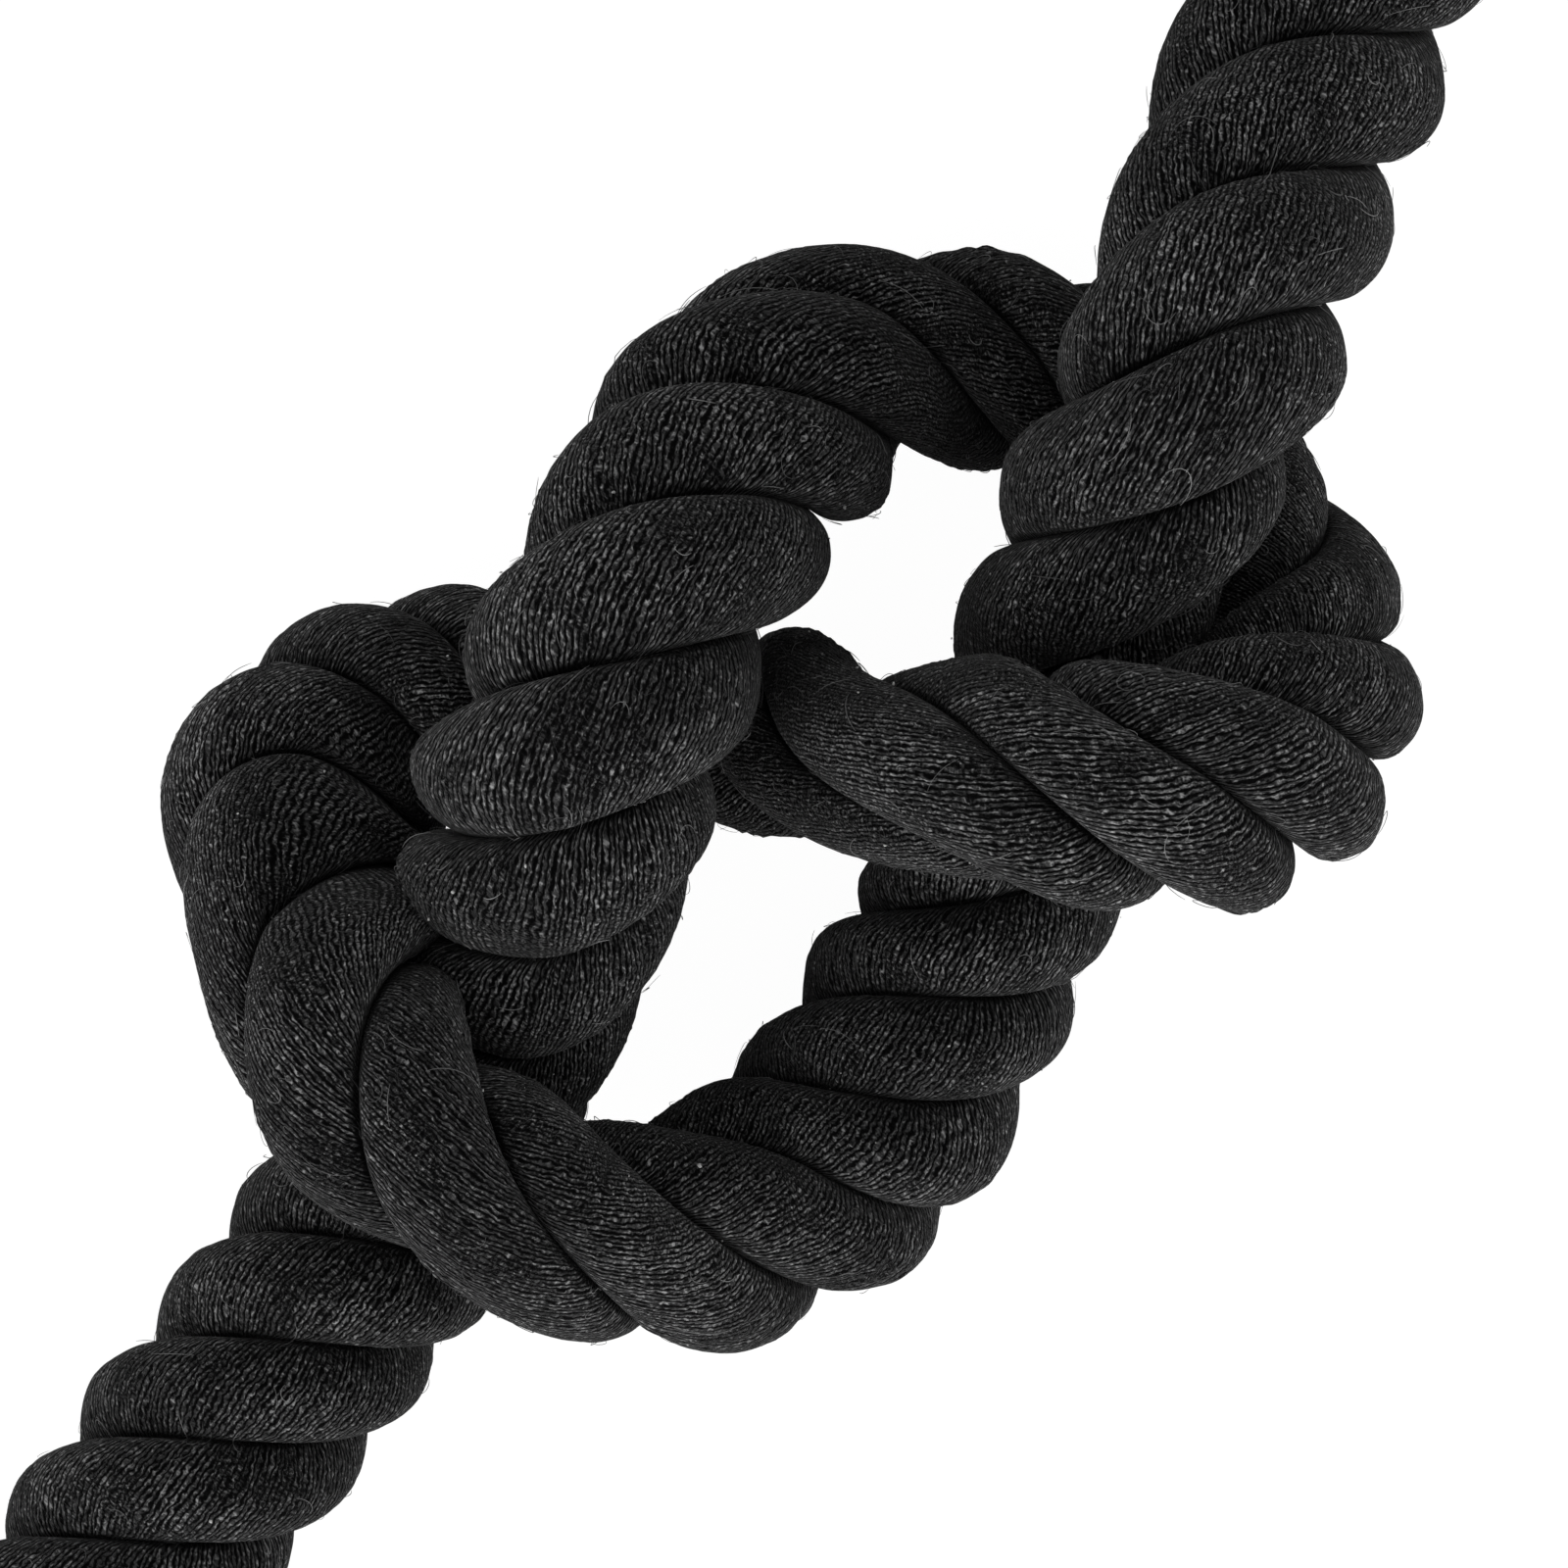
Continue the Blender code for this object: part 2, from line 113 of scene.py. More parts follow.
# %% The points of the knot, with the rope's girth and the grooves counted along its top
KNOT = [
    (0.1085, -0.0935, 0.0190, 1.00, -4.30), (0.1015, -0.1415, 0.0190, 1.00, -2.35),
    (0.0895, -0.1765, 0.0240, 0.99, -0.60), (0.0765, -0.2115, 0.0410, 0.98, 1.15),
    (0.0665, -0.2355, 0.0500, 0.96, 2.45), (0.0555, -0.2585, 0.0350, 0.88, 3.90),
    (0.0505, -0.2805, 0.0185, 0.86, 5.05), (0.0435, -0.2995, 0.0180, 0.91, 6.00),
    (0.0365, -0.3125, 0.0180, 0.94, 7.05), (0.0265, -0.3265, 0.0180, 0.94, 8.05),
    (0.0145, -0.3375, 0.0210, 0.88, 9.05), (0.0005, -0.3435, 0.0310, 0.77, 9.90),
    (-0.0135, -0.3425, 0.0420, 0.71, 10.75), (-0.0275, -0.3345, 0.0480, 0.71, 11.35),
    (-0.0405, -0.3225, 0.0450, 0.75, 12.15), (-0.0505, -0.3085, 0.0340, 0.79, 12.95),
    (-0.0535, -0.2925, 0.0230, 0.82, 13.55), (-0.0485, -0.2795, 0.0170, 0.84, 14.20),
    (-0.0335, -0.2715, 0.0150, 0.79, 15.40), (-0.0125, -0.2745, 0.0140, 0.73, 16.80),
    (0.0095, -0.2765, 0.0200, 0.72, 18.10), (0.0255, -0.2795, 0.0380, 0.73, 19.15),
    (0.0415, -0.2815, 0.0550, 0.79, 19.65), (0.0595, -0.2825, 0.0590, 0.79, 20.65),
    (0.0755, -0.2795, 0.0510, 0.79, 21.70), (0.0855, -0.2705, 0.0360, 0.78, 23.10),
    (0.0855, -0.2565, 0.0210, 0.76, 24.30), (0.0745, -0.2415, 0.0150, 0.75, 25.30),
    (0.0585, -0.2295, 0.0150, 0.75, 26.50), (0.0405, -0.2245, 0.0150, 0.75, 27.55),
    (0.0265, -0.2255, 0.0190, 0.81, 28.20), (0.0155, -0.2325, 0.0280, 0.92, 28.65),
    (0.0055, -0.2475, 0.0400, 0.96, 29.80), (-0.0035, -0.2645, 0.0490, 0.97, 30.75),
    (-0.0105, -0.2805, 0.0490, 0.98, 31.75), (-0.0145, -0.2995, 0.0360, 0.91, 33.05),
    (-0.0205, -0.3175, 0.0210, 0.85, 34.15), (-0.0305, -0.3345, 0.0170, 0.88, 35.15),
    (-0.0425, -0.3485, 0.0180, 0.95, 36.20), (-0.0545, -0.3635, 0.0190, 0.95, 37.35),
    (-0.0725, -0.3875, 0.0200, 0.95, 39.15), (-0.0905, -0.4115, 0.0200, 0.95, 40.95),
    (-0.1115, -0.4395, 0.0200, 0.95, 43.10),
]
print(f"the knot has {len(KNOT)} points, and {KNOT[-1][-1] - KNOT[0][-1]:.0f} grooves cross its top")

# %% [markdown]
# The rope is limp and tied tight, so where passes lean on each other its section isn't round: it gives to one side
# and is squeezed on the other. Its strands also slip, so that one side runs ahead of the other. The next table says
# so to half a millimetre, going from the hank to the tail: at which point of the knot, how far the left and the
# right edge stand out from their round shape, and how far the left edge runs ahead of the middle.

# %% Where the rope is squeezed: point of the knot, left bulge, right bulge and lead of the left side, in mm
SQUEEZES_MM = [
    (0, 0.5, 0.0, 0.0), (2, 1.0, 0.0, 3.5), (3, 0.5, 0.0, 2.5), (4, 0.5, -0.5, 1.0), (6, 0.0, -0.5, 0.5),
    (8, 0.5, 0.5, 0.5), (9, 3.0, -0.5, 0.0), (10, 4.0, 0.0, -1.5), (11, 3.0, 1.0, -3.0), (12, 1.0, 2.0, -2.0),
    (13, 1.5, 2.0, 1.0), (14, 1.5, 2.0, 3.0), (15, -3.0, 7.0, 5.0), (16, 1.0, 10.5, 5.5), (17, 0.5, 11.0, 2.0),
    (18, 0.5, 3.0, -1.0), (20, 2.5, 0.0, -4.0), (21, 0.0, -0.5, -4.0), (22, 0.0, 1.0, -3.5), (23, 0.5, 3.0, -4.5),
    (24, 0.5, 5.5, -2.5), (25, 0.5, 1.0, 0.0), (26, 0.5, -2.0, 0.0), (27, 0.5, -2.0, 0.0), (28, 0.5, 0.0, -5.0),
    (29, 2.0, 0.0, -5.5), (30, 1.5, 1.0, -3.0), (31, 1.5, 3.5, -0.5), (32, -0.5, 3.0, 2.5), (34, 0.0, 3.0, 4.0),
    (35, -2.0, 5.5, 5.0), (36, -2.5, 4.0, 3.5), (37, -0.5, 1.0, 1.0), (39, 0.5, 0.5, 0.5), (42, 0.5, 1.0, 0.0),
]
print(f"the rope is squeezed by up to {max(max(row[1:3]) for row in SQUEEZES_MM):.0f} mm")


# %% A smooth spline through rows of numbers
def natural_spline(rows, knots, at):
    """The natural cubic spline through the rows at the knots, read at the values `at`."""
    count = len(knots)
    spans = np.diff(knots)
    matrix = np.eye(count)
    pull = np.zeros((count, rows.shape[1]))
    slopes = np.diff(rows, axis=0) / spans[:, None]
    for i in range(1, count - 1):
        matrix[i, i - 1 : i + 2] = spans[i - 1], 2 * (spans[i - 1] + spans[i]), spans[i]
        pull[i] = 6 * (slopes[i] - slopes[i - 1])
    bend = np.linalg.solve(matrix, pull)
    k = np.clip(np.searchsorted(knots, at) - 1, 0, count - 2)
    after, before, span = (at - knots[k])[:, None], (knots[k + 1] - at)[:, None], spans[k][:, None]
    curved = (bend[k] * before**3 + bend[k + 1] * after**3) / (6 * span)
    from_start = (rows[k] / span - bend[k] * span / 6) * before
    from_end = (rows[k + 1] / span - bend[k + 1] * span / 6) * after
    return curved + from_start + from_end


hump = natural_spline(np.array([[0.0], [1.0], [0.0]]), np.arange(3.0), np.array([0.5]))[0, 0]
print(f"through 0, 1 and 0 the spline reads {hump:.2f} halfway up")

# %% [markdown]
# The spline's knots are spaced by the square root of the distance between the points, which keeps it from
# overshooting where the points lie close together. In the hank the grooves simply pass at an even spacing.

# %% One smooth line through all of the points
GROOVE_SPACING = 0.022
LINE_SAMPLES = 40000
hank = np.array(HANK)
knot = np.array(KNOT)
steps = np.linalg.norm(np.diff(np.vstack([hank, knot[:1, :3]]), axis=0), axis=1)
to_knot = steps[::-1].cumsum()[::-1]
hank_rows = np.column_stack([hank, np.ones(len(hank)), knot[0, 4] - to_knot / GROOVE_SPACING])
squeezed_at, *squeezed_by = np.array(SQUEEZES_MM).T
squeezes = [np.interp(range(len(knot)), squeezed_at, column) / 1000 for column in squeezed_by]
knot_rows = np.column_stack([knot, *squeezes])
rows = np.vstack([np.column_stack([hank_rows, np.zeros((len(hank), len(squeezes)))]), knot_rows])
knots = np.concatenate([[0], np.sqrt(np.linalg.norm(np.diff(rows[:, :3], axis=0), axis=1)).cumsum()])
fine = np.linspace(0, knots[-1], LINE_SAMPLES)
dense = natural_spline(rows, knots, fine)
run = np.concatenate([[0], np.linalg.norm(np.diff(dense[:, :3], axis=0), axis=1).cumsum()])
knot_start = np.interp(knots[len(hank)], fine, run)
print(f"the line is {run[-1]:.3f} m long, and its knot starts at {knot_start:.3f} m")


# %% The line's own directions at any place along it
def unit(vectors):
    """The same directions, each of length one."""
    return vectors / (np.linalg.norm(vectors, axis=-1, keepdims=True) + 1e-12)


def read_along(at, columns):
    """Columns of numbers known all along the line, read at some places on it."""
    return np.column_stack([np.interp(at, run, column) for column in columns.T])


directions = unit(np.gradient(dense[:, :3], run, axis=0))


def line_at(at):
    """The rope's centre, directions, radius and squeeze, and the grooves passed, at some places along it."""
    ring = read_along(at, dense)
    girth, grooves, left, right, lead = ring[:, 3:].T
    ahead = read_along(at, directions)
    side = unit(np.cross((0, 0, 1), ahead))
    up = unit(np.cross(ahead, side))
    radius = ROPE_RADIUS * girth
    return {
        "centre": ring[:, :3], "ahead": ahead, "side": side, "up": up, "radius": radius, "grooves": grooves,
        "left": left / radius, "right": right / radius, "lean": lead / radius,
    }


print(f"the line rises to {dense[:, 2].max() * 1000:.0f} mm above the floor")

# %% [markdown]
# ## Where a point on the rope is
#
# At each place along the line the rope has a round section, and the three strands share it like three slices of a
# cake. The strand's crest stands 60 degrees from the two grooves beside it. A laid rope's strands are twisted so
# that they bulge: here the slice's rim is the arc of a smaller circle, set off the rope's middle, so the grooves
# come out as narrow, deep creases. The same three strands turn round the line as the grooves pass.

# %% The rim of a strand, as shares of the rope's radius
STRAND_TURN = 2 * math.pi / 3
HALF_STRAND = math.pi / 3
ARC_RADIUS = 0.66
ARC_OFFSET = 0.34
CREASE = 0.12
CREASE_NARROWNESS = 10


def reach(angle):
    """How far a strand's surface is from the rope's middle, at an angle from the strand's crest."""
    across = np.clip(np.abs(angle) / HALF_STRAND, 0, 1)
    arc = ARC_OFFSET * np.cos(angle) + np.sqrt(ARC_RADIUS**2 - (ARC_OFFSET * np.sin(angle)) ** 2)
    return arc - CREASE * across**CREASE_NARROWNESS


print(f"a groove is {1000 * ROPE_RADIUS * (1 - reach(HALF_STRAND)):.1f} mm deep")

# %% How far round a strand each angle is, in yarns
YARN_WIDTH = 0.00090
RIM_SAMPLES = 2001
angles = np.linspace(-HALF_STRAND, HALF_STRAND, RIM_SAMPLES)
rim = np.column_stack([reach(angles) * np.sin(angles), reach(angles) * np.cos(angles)])
round_rim = np.concatenate([[0], np.linalg.norm(np.diff(rim, axis=0), axis=1).cumsum()])
round_rim -= round_rim[-1] / 2


def crest_angle(strand, grooves):
    """Where a strand's crest is, as an angle from the rope's top."""
    return (strand + 0.5 - grooves) * STRAND_TURN


def yarn_number(angle, crest):
    """Yarns are counted round the strand. Near the crest each keeps its side of the rope, as laid yarns do."""
    return (np.interp(angle, angles, round_rim) + crest) * ROPE_RADIUS / YARN_WIDTH


print(f"{(round_rim[-1] - round_rim[0]) * ROPE_RADIUS / YARN_WIDTH:.0f} yarns show on each strand")

# %% [markdown]
# ## The three strands
#
# Each strand is lofted: one section after another, turned a little each time, and skinned with four-sided faces.
# Cotton is limp, so nothing is quite even. Slow waves, made from a few sines with fixed phases, swell and pinch each
# strand by a few hundredths, and narrower waves that follow the yarns stand for bundles that lie a little proud.
# Where the rope meets the floor it settles: whatever would be below the floor is spread against it.

# %% Slow, repeatable unevenness
dice = np.random.default_rng(38)


def waves(count, shortest, longest):
    """A few sine waves with lengths between two bounds, each with its own phase and tilt."""
    lengths = dice.uniform(shortest, longest, count)
    return 2 * math.pi / lengths, dice.uniform(-2, 2, count), dice.uniform(0, 2 * math.pi, count)


def sum_waves(set_of_waves, along, around):
    """Their sum at places along and around, kept to about the height of one wave."""
    rates, tilts, phases = set_of_waves
    total = sum(np.sin(rate * along + tilt * around + phase) for rate, tilt, phase in zip(rates, tilts, phases))
    return total / math.sqrt(len(rates))


swellings = waves(5, 0.018, 0.060)
bundles = waves(6, 2.2, 5.5)
drifting = waves(5, 0.006, 0.020)
print(f"the swellings are {', '.join(f'{2000 * math.pi / rate:.0f}' for rate in swellings[0])} mm long")

# %% From the rope's own directions to a place in the room
FLOOR_GAP = 0.0002
SOFTNESS = 0.0012


def settle(points):
    """The floor is z = 0, and the rope lies flat where it touches."""
    height = points[..., 2]
    points[..., 2] = FLOOR_GAP + (height + np.sqrt(height**2 + SOFTNESS**2)) / 2
    return points


def squeezed_place(line, aside, above):
    """Points so far aside and above the rope's centre, moved as it is squeezed and leans there, and settled."""
    leaning = aside * line["lean"][:, None]
    aside = aside * (1 + np.where(aside > 0, line["left"][:, None], line["right"][:, None]))
    ways = ((line["side"], aside), (line["up"], above), (line["ahead"], leaning))
    return settle(line["centre"][:, None] + sum(way[:, None] * far[..., None] for way, far in ways))


sunk = settle(np.array([0.0, 0.0, -0.003]))[2]
print(f"a point 3 mm below the floor settles {1000 * sunk:.1f} mm above it")


# %% A skin of four-sided faces over rings of points
def skin(name, rings):
    """A mesh over rings of points (rings, points, xyz), each ring closed, with both ends filled."""
    count, width = rings.shape[:2]
    first = np.arange(count - 1)[:, None] * width
    here = np.arange(width)[None, :]
    following = (here + 1) % width
    corners = [first + here, first + following, first + width + following, first + width + here]
    quads = np.stack(corners, axis=-1).reshape(-1, 4)
    ends = [np.arange(width)[::-1], np.arange(width) + (count - 1) * width]
    loops = np.concatenate([quads.ravel(), *ends])
    starts = np.concatenate([np.arange(len(quads)) * 4, len(quads) * 4 + np.array([0, width])])
    mesh = bpy.data.meshes.new(name)
    mesh.vertices.add(count * width)
    mesh.vertices.foreach_set("co", rings.astype(np.float32).ravel())
    mesh.loops.add(len(loops))
    mesh.loops.foreach_set("vertex_index", loops.astype(np.int32))
    mesh.polygons.add(len(starts))
    mesh.polygons.foreach_set("loop_start", starts.astype(np.int32))
    mesh.update(calc_edges=True)
    mesh.validate()
    mesh.shade_smooth()
    return mesh


def store(mesh, name, numbers):
    """Give each point of a mesh one number, or three, that its material can read by name."""
    kind, key = ("FLOAT_VECTOR", "vector") if numbers.ndim > 1 else ("FLOAT", "value")
    mesh.attributes.new(name, kind, "POINT").data.foreach_set(key, numbers.astype(np.float32).ravel())


def add_piece(name, mesh, material):
    """A finished piece, riding on the rope's one body."""
    piece = put_in_scene(name, mesh)
    mesh.materials.append(material)
    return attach(piece, "root")


print("mesh helpers are ready")

# %% One strand's sections, along as many places as are asked for
RIM_POINTS = 37
RIM_CROWDING = 1.35
STRAND_GAP = 0.0002
SWELLING = 0.013
PROUDNESS = 0.00016
NEXT_STRAND = 0.31
rim_angles = HALF_STRAND * np.sin(np.linspace(-1, 1, RIM_POINTS) * RIM_CROWDING) / math.sin(RIM_CROWDING)


def strand_rings(strand, at):
    """The sections, and for each point its yarn number, its place along in mm and its closeness to a groove."""
    line = line_at(at)
    radius = line["radius"][:, None]
    crest = crest_angle(strand, line["grooves"])[:, None]
    angle = np.broadcast_to(rim_angles, (len(at), RIM_POINTS))
    yarns = yarn_number(angle, crest)
    closeness = np.abs(angle) / HALF_STRAND
    # The waves slant a little, so that a swelling or a bundle isn't a ring.
    swollen = sum_waves(swellings, at[:, None] + NEXT_STRAND * strand, 0.5 * angle)
    uneven = SWELLING * swollen * (1 - 0.5 * closeness)
    proud = PROUDNESS * sum_waves(bundles, yarns, 0) * sum_waves(drifting, at[:, None], 0.15 * yarns)
    far = radius * (reach(angle) + uneven) + proud * (1 - closeness**4)
    # The gap between two strands is cut square to the groove's walls, 60 degrees from the crest.
    inset = STRAND_GAP / 2 * closeness**4
    across = far * np.sin(angle) - inset * np.sign(angle) * 0.5
    outward = far * np.cos(angle) + inset * 0.87
    across = np.column_stack([across, np.zeros(len(at))])
    outward = np.column_stack([outward, np.full(len(at), STRAND_GAP)])
    aside = across * np.cos(crest) + outward * np.sin(crest)
    above = outward * np.cos(crest) - across * np.sin(crest)
    facts = np.stack([yarns, np.broadcast_to(1000 * at[:, None], yarns.shape), closeness], axis=-1)
    facts = np.concatenate([facts, facts[:, -1:]], axis=1)
    return squeezed_place(line, aside, above), facts


print(f"a section has {RIM_POINTS} points on its rim and one at the rope's middle")

# %% [markdown]
# ## The cotton
#
# Close up, the rope is charcoal cotton: matt, with fine round yarns a little under a millimetre wide that run along
# the rope over each strand and dive into the grooves. The yarns are crinkled, each is twisted from finer plies that
# catch the light as short dashes, and the spaces between them are almost black.
#
# Modelling every yarn would take millions of faces. The strands' meshes instead carry three numbers at each point,
# as an attribute called lay: the yarn number, the place along the rope and the closeness to a groove. The material
# reads them, so its yarns follow the lay exactly through every bend, in any view and in an exported model.

# %% Small helpers for building a material from nodes
def new_material(name, roughness, **shader_values):
    """A material with its Principled shader, whose constants go straight on the shader's own sockets."""
    material = bpy.data.materials.new(name)
    material.use_nodes = True
    shader = material.node_tree.nodes["Principled BSDF"]
    shader.inputs["Roughness"].default_value = roughness
    for key, value in shader_values.items():
        shader.inputs[key.replace("_", " ")].default_value = value
    return material, material.node_tree, shader


def feed(tree, sockets, values):
    """Give each socket its value, which is a number or another node's output."""
    for socket, value in zip(sockets, values):
        if isinstance(value, bpy.types.NodeSocket):
            tree.links.new(value, socket)
        else:
            socket.default_value = value


def maths(tree, operation, *values):
    """One Math node."""
    node = tree.nodes.new("ShaderNodeMath")
    node.operation = operation
    feed(tree, node.inputs, values)
    return node.outputs[0]


def summed(tree, start, *others):
    """A start value plus each of the others, given as (value, share), times its share."""
    for value, share in others:
        start = maths(tree, "MULTIPLY_ADD", value, share, start)
    return start


def vector(tree, x, y, z=0.0):
    node = tree.nodes.new("ShaderNodeCombineXYZ")
    feed(tree, node.inputs, (x, y, z))
    return node.outputs[0]


def noise(tree, place, scale, detail=2.0, roughness=0.5):
    node = tree.nodes.new("ShaderNodeTexNoise")
    node.inputs["Scale"].default_value = scale
    node.inputs["Detail"].default_value = detail
    node.inputs["Roughness"].default_value = roughness
    tree.links.new(place, node.inputs["Vector"])
    return node.outputs["Fac"]


print("material helpers are ready")


# %% More of them: to spread a texture, colour by a number, raise a bump and read what a mesh carries
def stretched(tree, value, low, high, to_low=0.0, to_high=1.0):
    """A smooth Map Range node, which spreads the middle of a texture over a wider range."""
    node = tree.nodes.new("ShaderNodeMapRange")
    node.interpolation_type = "SMOOTHSTEP"
    for key, number in zip(("From Min", "From Max", "To Min", "To Max"), (low, high, to_low, to_high)):
        node.inputs[key].default_value = number
    tree.links.new(value, node.inputs["Value"])
    return node.outputs["Result"]


def colour_by(tree, shader, value, stops):
    """Colour the shader by a number, through stops of (number, colour)."""
    node = tree.nodes.new("ShaderNodeValToRGB")
    ramp = node.color_ramp
    while len(ramp.elements) < len(stops):
        ramp.elements.new(0.5)
    for element, (place, colour) in zip(ramp.elements, stops):
        element.position = place
        element.color = (*colour, 1)
    tree.links.new(value, node.inputs[0])
    tree.links.new(node.outputs["Color"], shader.inputs["Base Color"])


def add_bump(tree, shader, height, distance):
    bump = tree.nodes.new("ShaderNodeBump")
    bump.inputs["Distance"].default_value = distance
    bump.inputs["Strength"].default_value = 1.0
    tree.links.new(height, bump.inputs["Height"])
    tree.links.new(bump.outputs["Normal"], shader.inputs["Normal"])


def stored(tree, name):
    """What a mesh carries at each point under this name."""
    attribute = tree.nodes.new("ShaderNodeAttribute")
    attribute.attribute_name = name
    return attribute.outputs


def apart(tree, vector_output):
    """The three numbers of a vector, each on its own."""
    split = tree.nodes.new("ShaderNodeSeparateXYZ")
    tree.links.new(vector_output, split.inputs[0])
    return split.outputs


print("texture and colour helpers are ready")

# %% The cotton's yarns: a saw of ridges, one to a yarn number, that wanders and trembles
CRINKLE = 1.0
TREMBLE = 0.6
cotton, tree, shader = new_material(
    "charcoal_cotton", 0.95, Sheen_Weight=0.10, Sheen_Roughness=0.3, Specular_IOR_Level=0.06
)
yarns, along, closeness = apart(tree, stored(tree, "lay")["Vector"])


def cloth_noise(per_yarn, per_mm, detail=2.0, roughness=0.55, layer=0.0, count=yarns):
    """Noise in the rope's own directions: so many cells for each yarn's width, and for each millimetre along."""
    place = vector(tree, maths(tree, "MULTIPLY", count, per_yarn), maths(tree, "MULTIPLY", along, per_mm), layer)
    return noise(tree, place, 1.0, detail, roughness)


crinkle = maths(tree, "MULTIPLY_ADD", cloth_noise(0.28, 0.22), 2 * CRINKLE, -CRINKLE)
tremble = maths(tree, "MULTIPLY_ADD", cloth_noise(1.0, 0.9, layer=3.0), 2 * TREMBLE, -TREMBLE)
wavy = maths(tree, "ADD", yarns, maths(tree, "ADD", crinkle, tremble))
roundness = maths(tree, "MULTIPLY", maths(tree, "PINGPONG", wavy, 0.5), 2.0)
yarn_dice = tree.nodes.new("ShaderNodeTexWhiteNoise")
yarn_dice.noise_dimensions = "1D"
tree.links.new(maths(tree, "FLOOR", wavy), yarn_dice.inputs["W"])
own = yarn_dice.outputs["Value"]
print(f"the yarns are {1000 * YARN_WIDTH:.1f} mm wide, and wander by up to {CRINKLE + TREMBLE:.1f} of that")

# %% Its plies, which turn round each yarn, and the fibres and tufts that blur them
PLIES_PER_MM = 1.15
PLY_SLANT = 0.8
PLY_UNEVEN = 2.5
START_SPREAD = 9.0
uneven_twist = cloth_noise(0.8, 0.5, layer=5.0)
turn = maths(tree, "MULTIPLY", own, START_SPREAD)
turn = summed(tree, turn, (along, PLIES_PER_MM), (maths(tree, "FRACT", wavy), PLY_SLANT), (uneven_twist, PLY_UNEVEN))
ply = maths(tree, "SINE", maths(tree, "MULTIPLY", turn, 2 * math.pi))
ply = maths(tree, "MULTIPLY_ADD", ply, 0.5, 0.5)
fibres = stretched(tree, cloth_noise(2.6, 1.5, roughness=0.6, layer=9.0, count=wavy), 0.36, 0.66)
mottle = stretched(tree, cloth_noise(1.5, 2.6, roughness=0.6, layer=13.0, count=wavy), 0.34, 0.68)
muddled = stretched(tree, cloth_noise(0.10, 0.09, layer=21.0), 0.50, 0.66, 0.0, 0.50)
print(f"a ply passes every {1 / PLIES_PER_MM:.1f} mm along a yarn")

# %% The height that the colour and the bump share
YARN_BUMP = 0.00045
DASH_SPREAD = 37.0
DASHES_PER_MM = 0.8
DASH_LOW = 0.76
RIDGE_SHARE, PLY_SHARE, MOTTLE_SHARE, FIBRE_SHARE = 0.50, 0.18, 0.14, 0.18
ridge = stretched(tree, roundness, 0.05, 0.72)
dash_place = maths(tree, "MULTIPLY", own, DASH_SPREAD), maths(tree, "MULTIPLY", along, DASHES_PER_MM)
dashes = stretched(tree, noise(tree, vector(tree, *dash_place), 1.0, 1.0), 0.36, 0.60, DASH_LOW, 1.0)
ridge = maths(tree, "MULTIPLY", ridge, dashes)
ridge = maths(tree, "ADD", ridge, maths(tree, "MULTIPLY", muddled, maths(tree, "SUBTRACT", mottle, ridge)))
height = maths(tree, "MULTIPLY", ridge, RIDGE_SHARE)
twisted = maths(tree, "MULTIPLY", ply, ridge)
height = summed(tree, height, (twisted, PLY_SHARE), (mottle, MOTTLE_SHARE), (fibres, FIBRE_SHARE))
add_bump(tree, shader, height, YARN_BUMP)
print(f"the yarns stand up to {1000 * YARN_BUMP:.2f} mm high in the bump")

# %% [markdown]
# Worn cotton goes grey where it is rubbed, and the spaces between its yarns lie in shade. The colour paints both and
# follows the same ridges as the bump: nearly black between the yarns, a painted shade, charcoal on them, and grey on
# the few highest fibres, partly wear and partly painted light. Single colours with speckles over them were another
# way, but then the speckles would sit between the yarns as often as on them.

# %% The cotton's colour: near black between the yarns, a painted shade, to grey on their tops, from wear and painted light
RIDGE_WEAR_AND_LIGHT, PAINTED_PLY_GLINT, WORN_MOTTLE, WORN_FIBRE = 0.24, 0.10, 0.24, 0.38
YARN_CONTRAST = 0.16
patches = stretched(tree, cloth_noise(0.05, 0.04, layer=11.0), 0.3, 0.7, 0.88, 1.10)
flecks = cloth_noise(3.1, 2.9, detail=0.0, roughness=0.5, layer=17.0, count=wavy)
flecks = stretched(tree, flecks, 0.72, 0.82, 0.0, 0.25)
# Painted shade: close to a groove the colour darkens almost to black, down to 0.12 of its grey.
deep = stretched(tree, closeness, 0.93, 0.997, 1.0, 0.12)
# The ridge paints shade between the yarns and light on their tops, with some grey of wear. The plies add painted
# glints. The mottle, the fibres, each yarn's own grey and the broad patches are the cotton's uneven tone.
wear_and_painted_light = summed(tree, RIDGE_WEAR_AND_LIGHT, (ply, PAINTED_PLY_GLINT), (mottle, WORN_MOTTLE), (fibres, WORN_FIBRE))
wear_and_painted_light = maths(tree, "MULTIPLY", ridge, wear_and_painted_light)
wear_and_painted_light = maths(tree, "MULTIPLY", wear_and_painted_light, maths(tree, "MULTIPLY_ADD", own, YARN_CONTRAST, 1 - YARN_CONTRAST / 2))
wear_and_painted_light = maths(tree, "ADD", maths(tree, "MULTIPLY", wear_and_painted_light, patches), flecks)
wear_and_painted_light = maths(tree, "MULTIPLY", wear_and_painted_light, deep)
COTTON_GREYS = [
    (0.00, (0.0002, 0.0002, 0.0003)),
    (0.25, (0.0050, 0.0050, 0.0052)),
    (0.55, (0.0600, 0.0600, 0.0605)),
    (1.00, (0.4200, 0.4200, 0.4210)),
]
colour_by(tree, shader, wear_and_painted_light, COTTON_GREYS)
print(f"the cotton has {len(tree.nodes)} nodes")

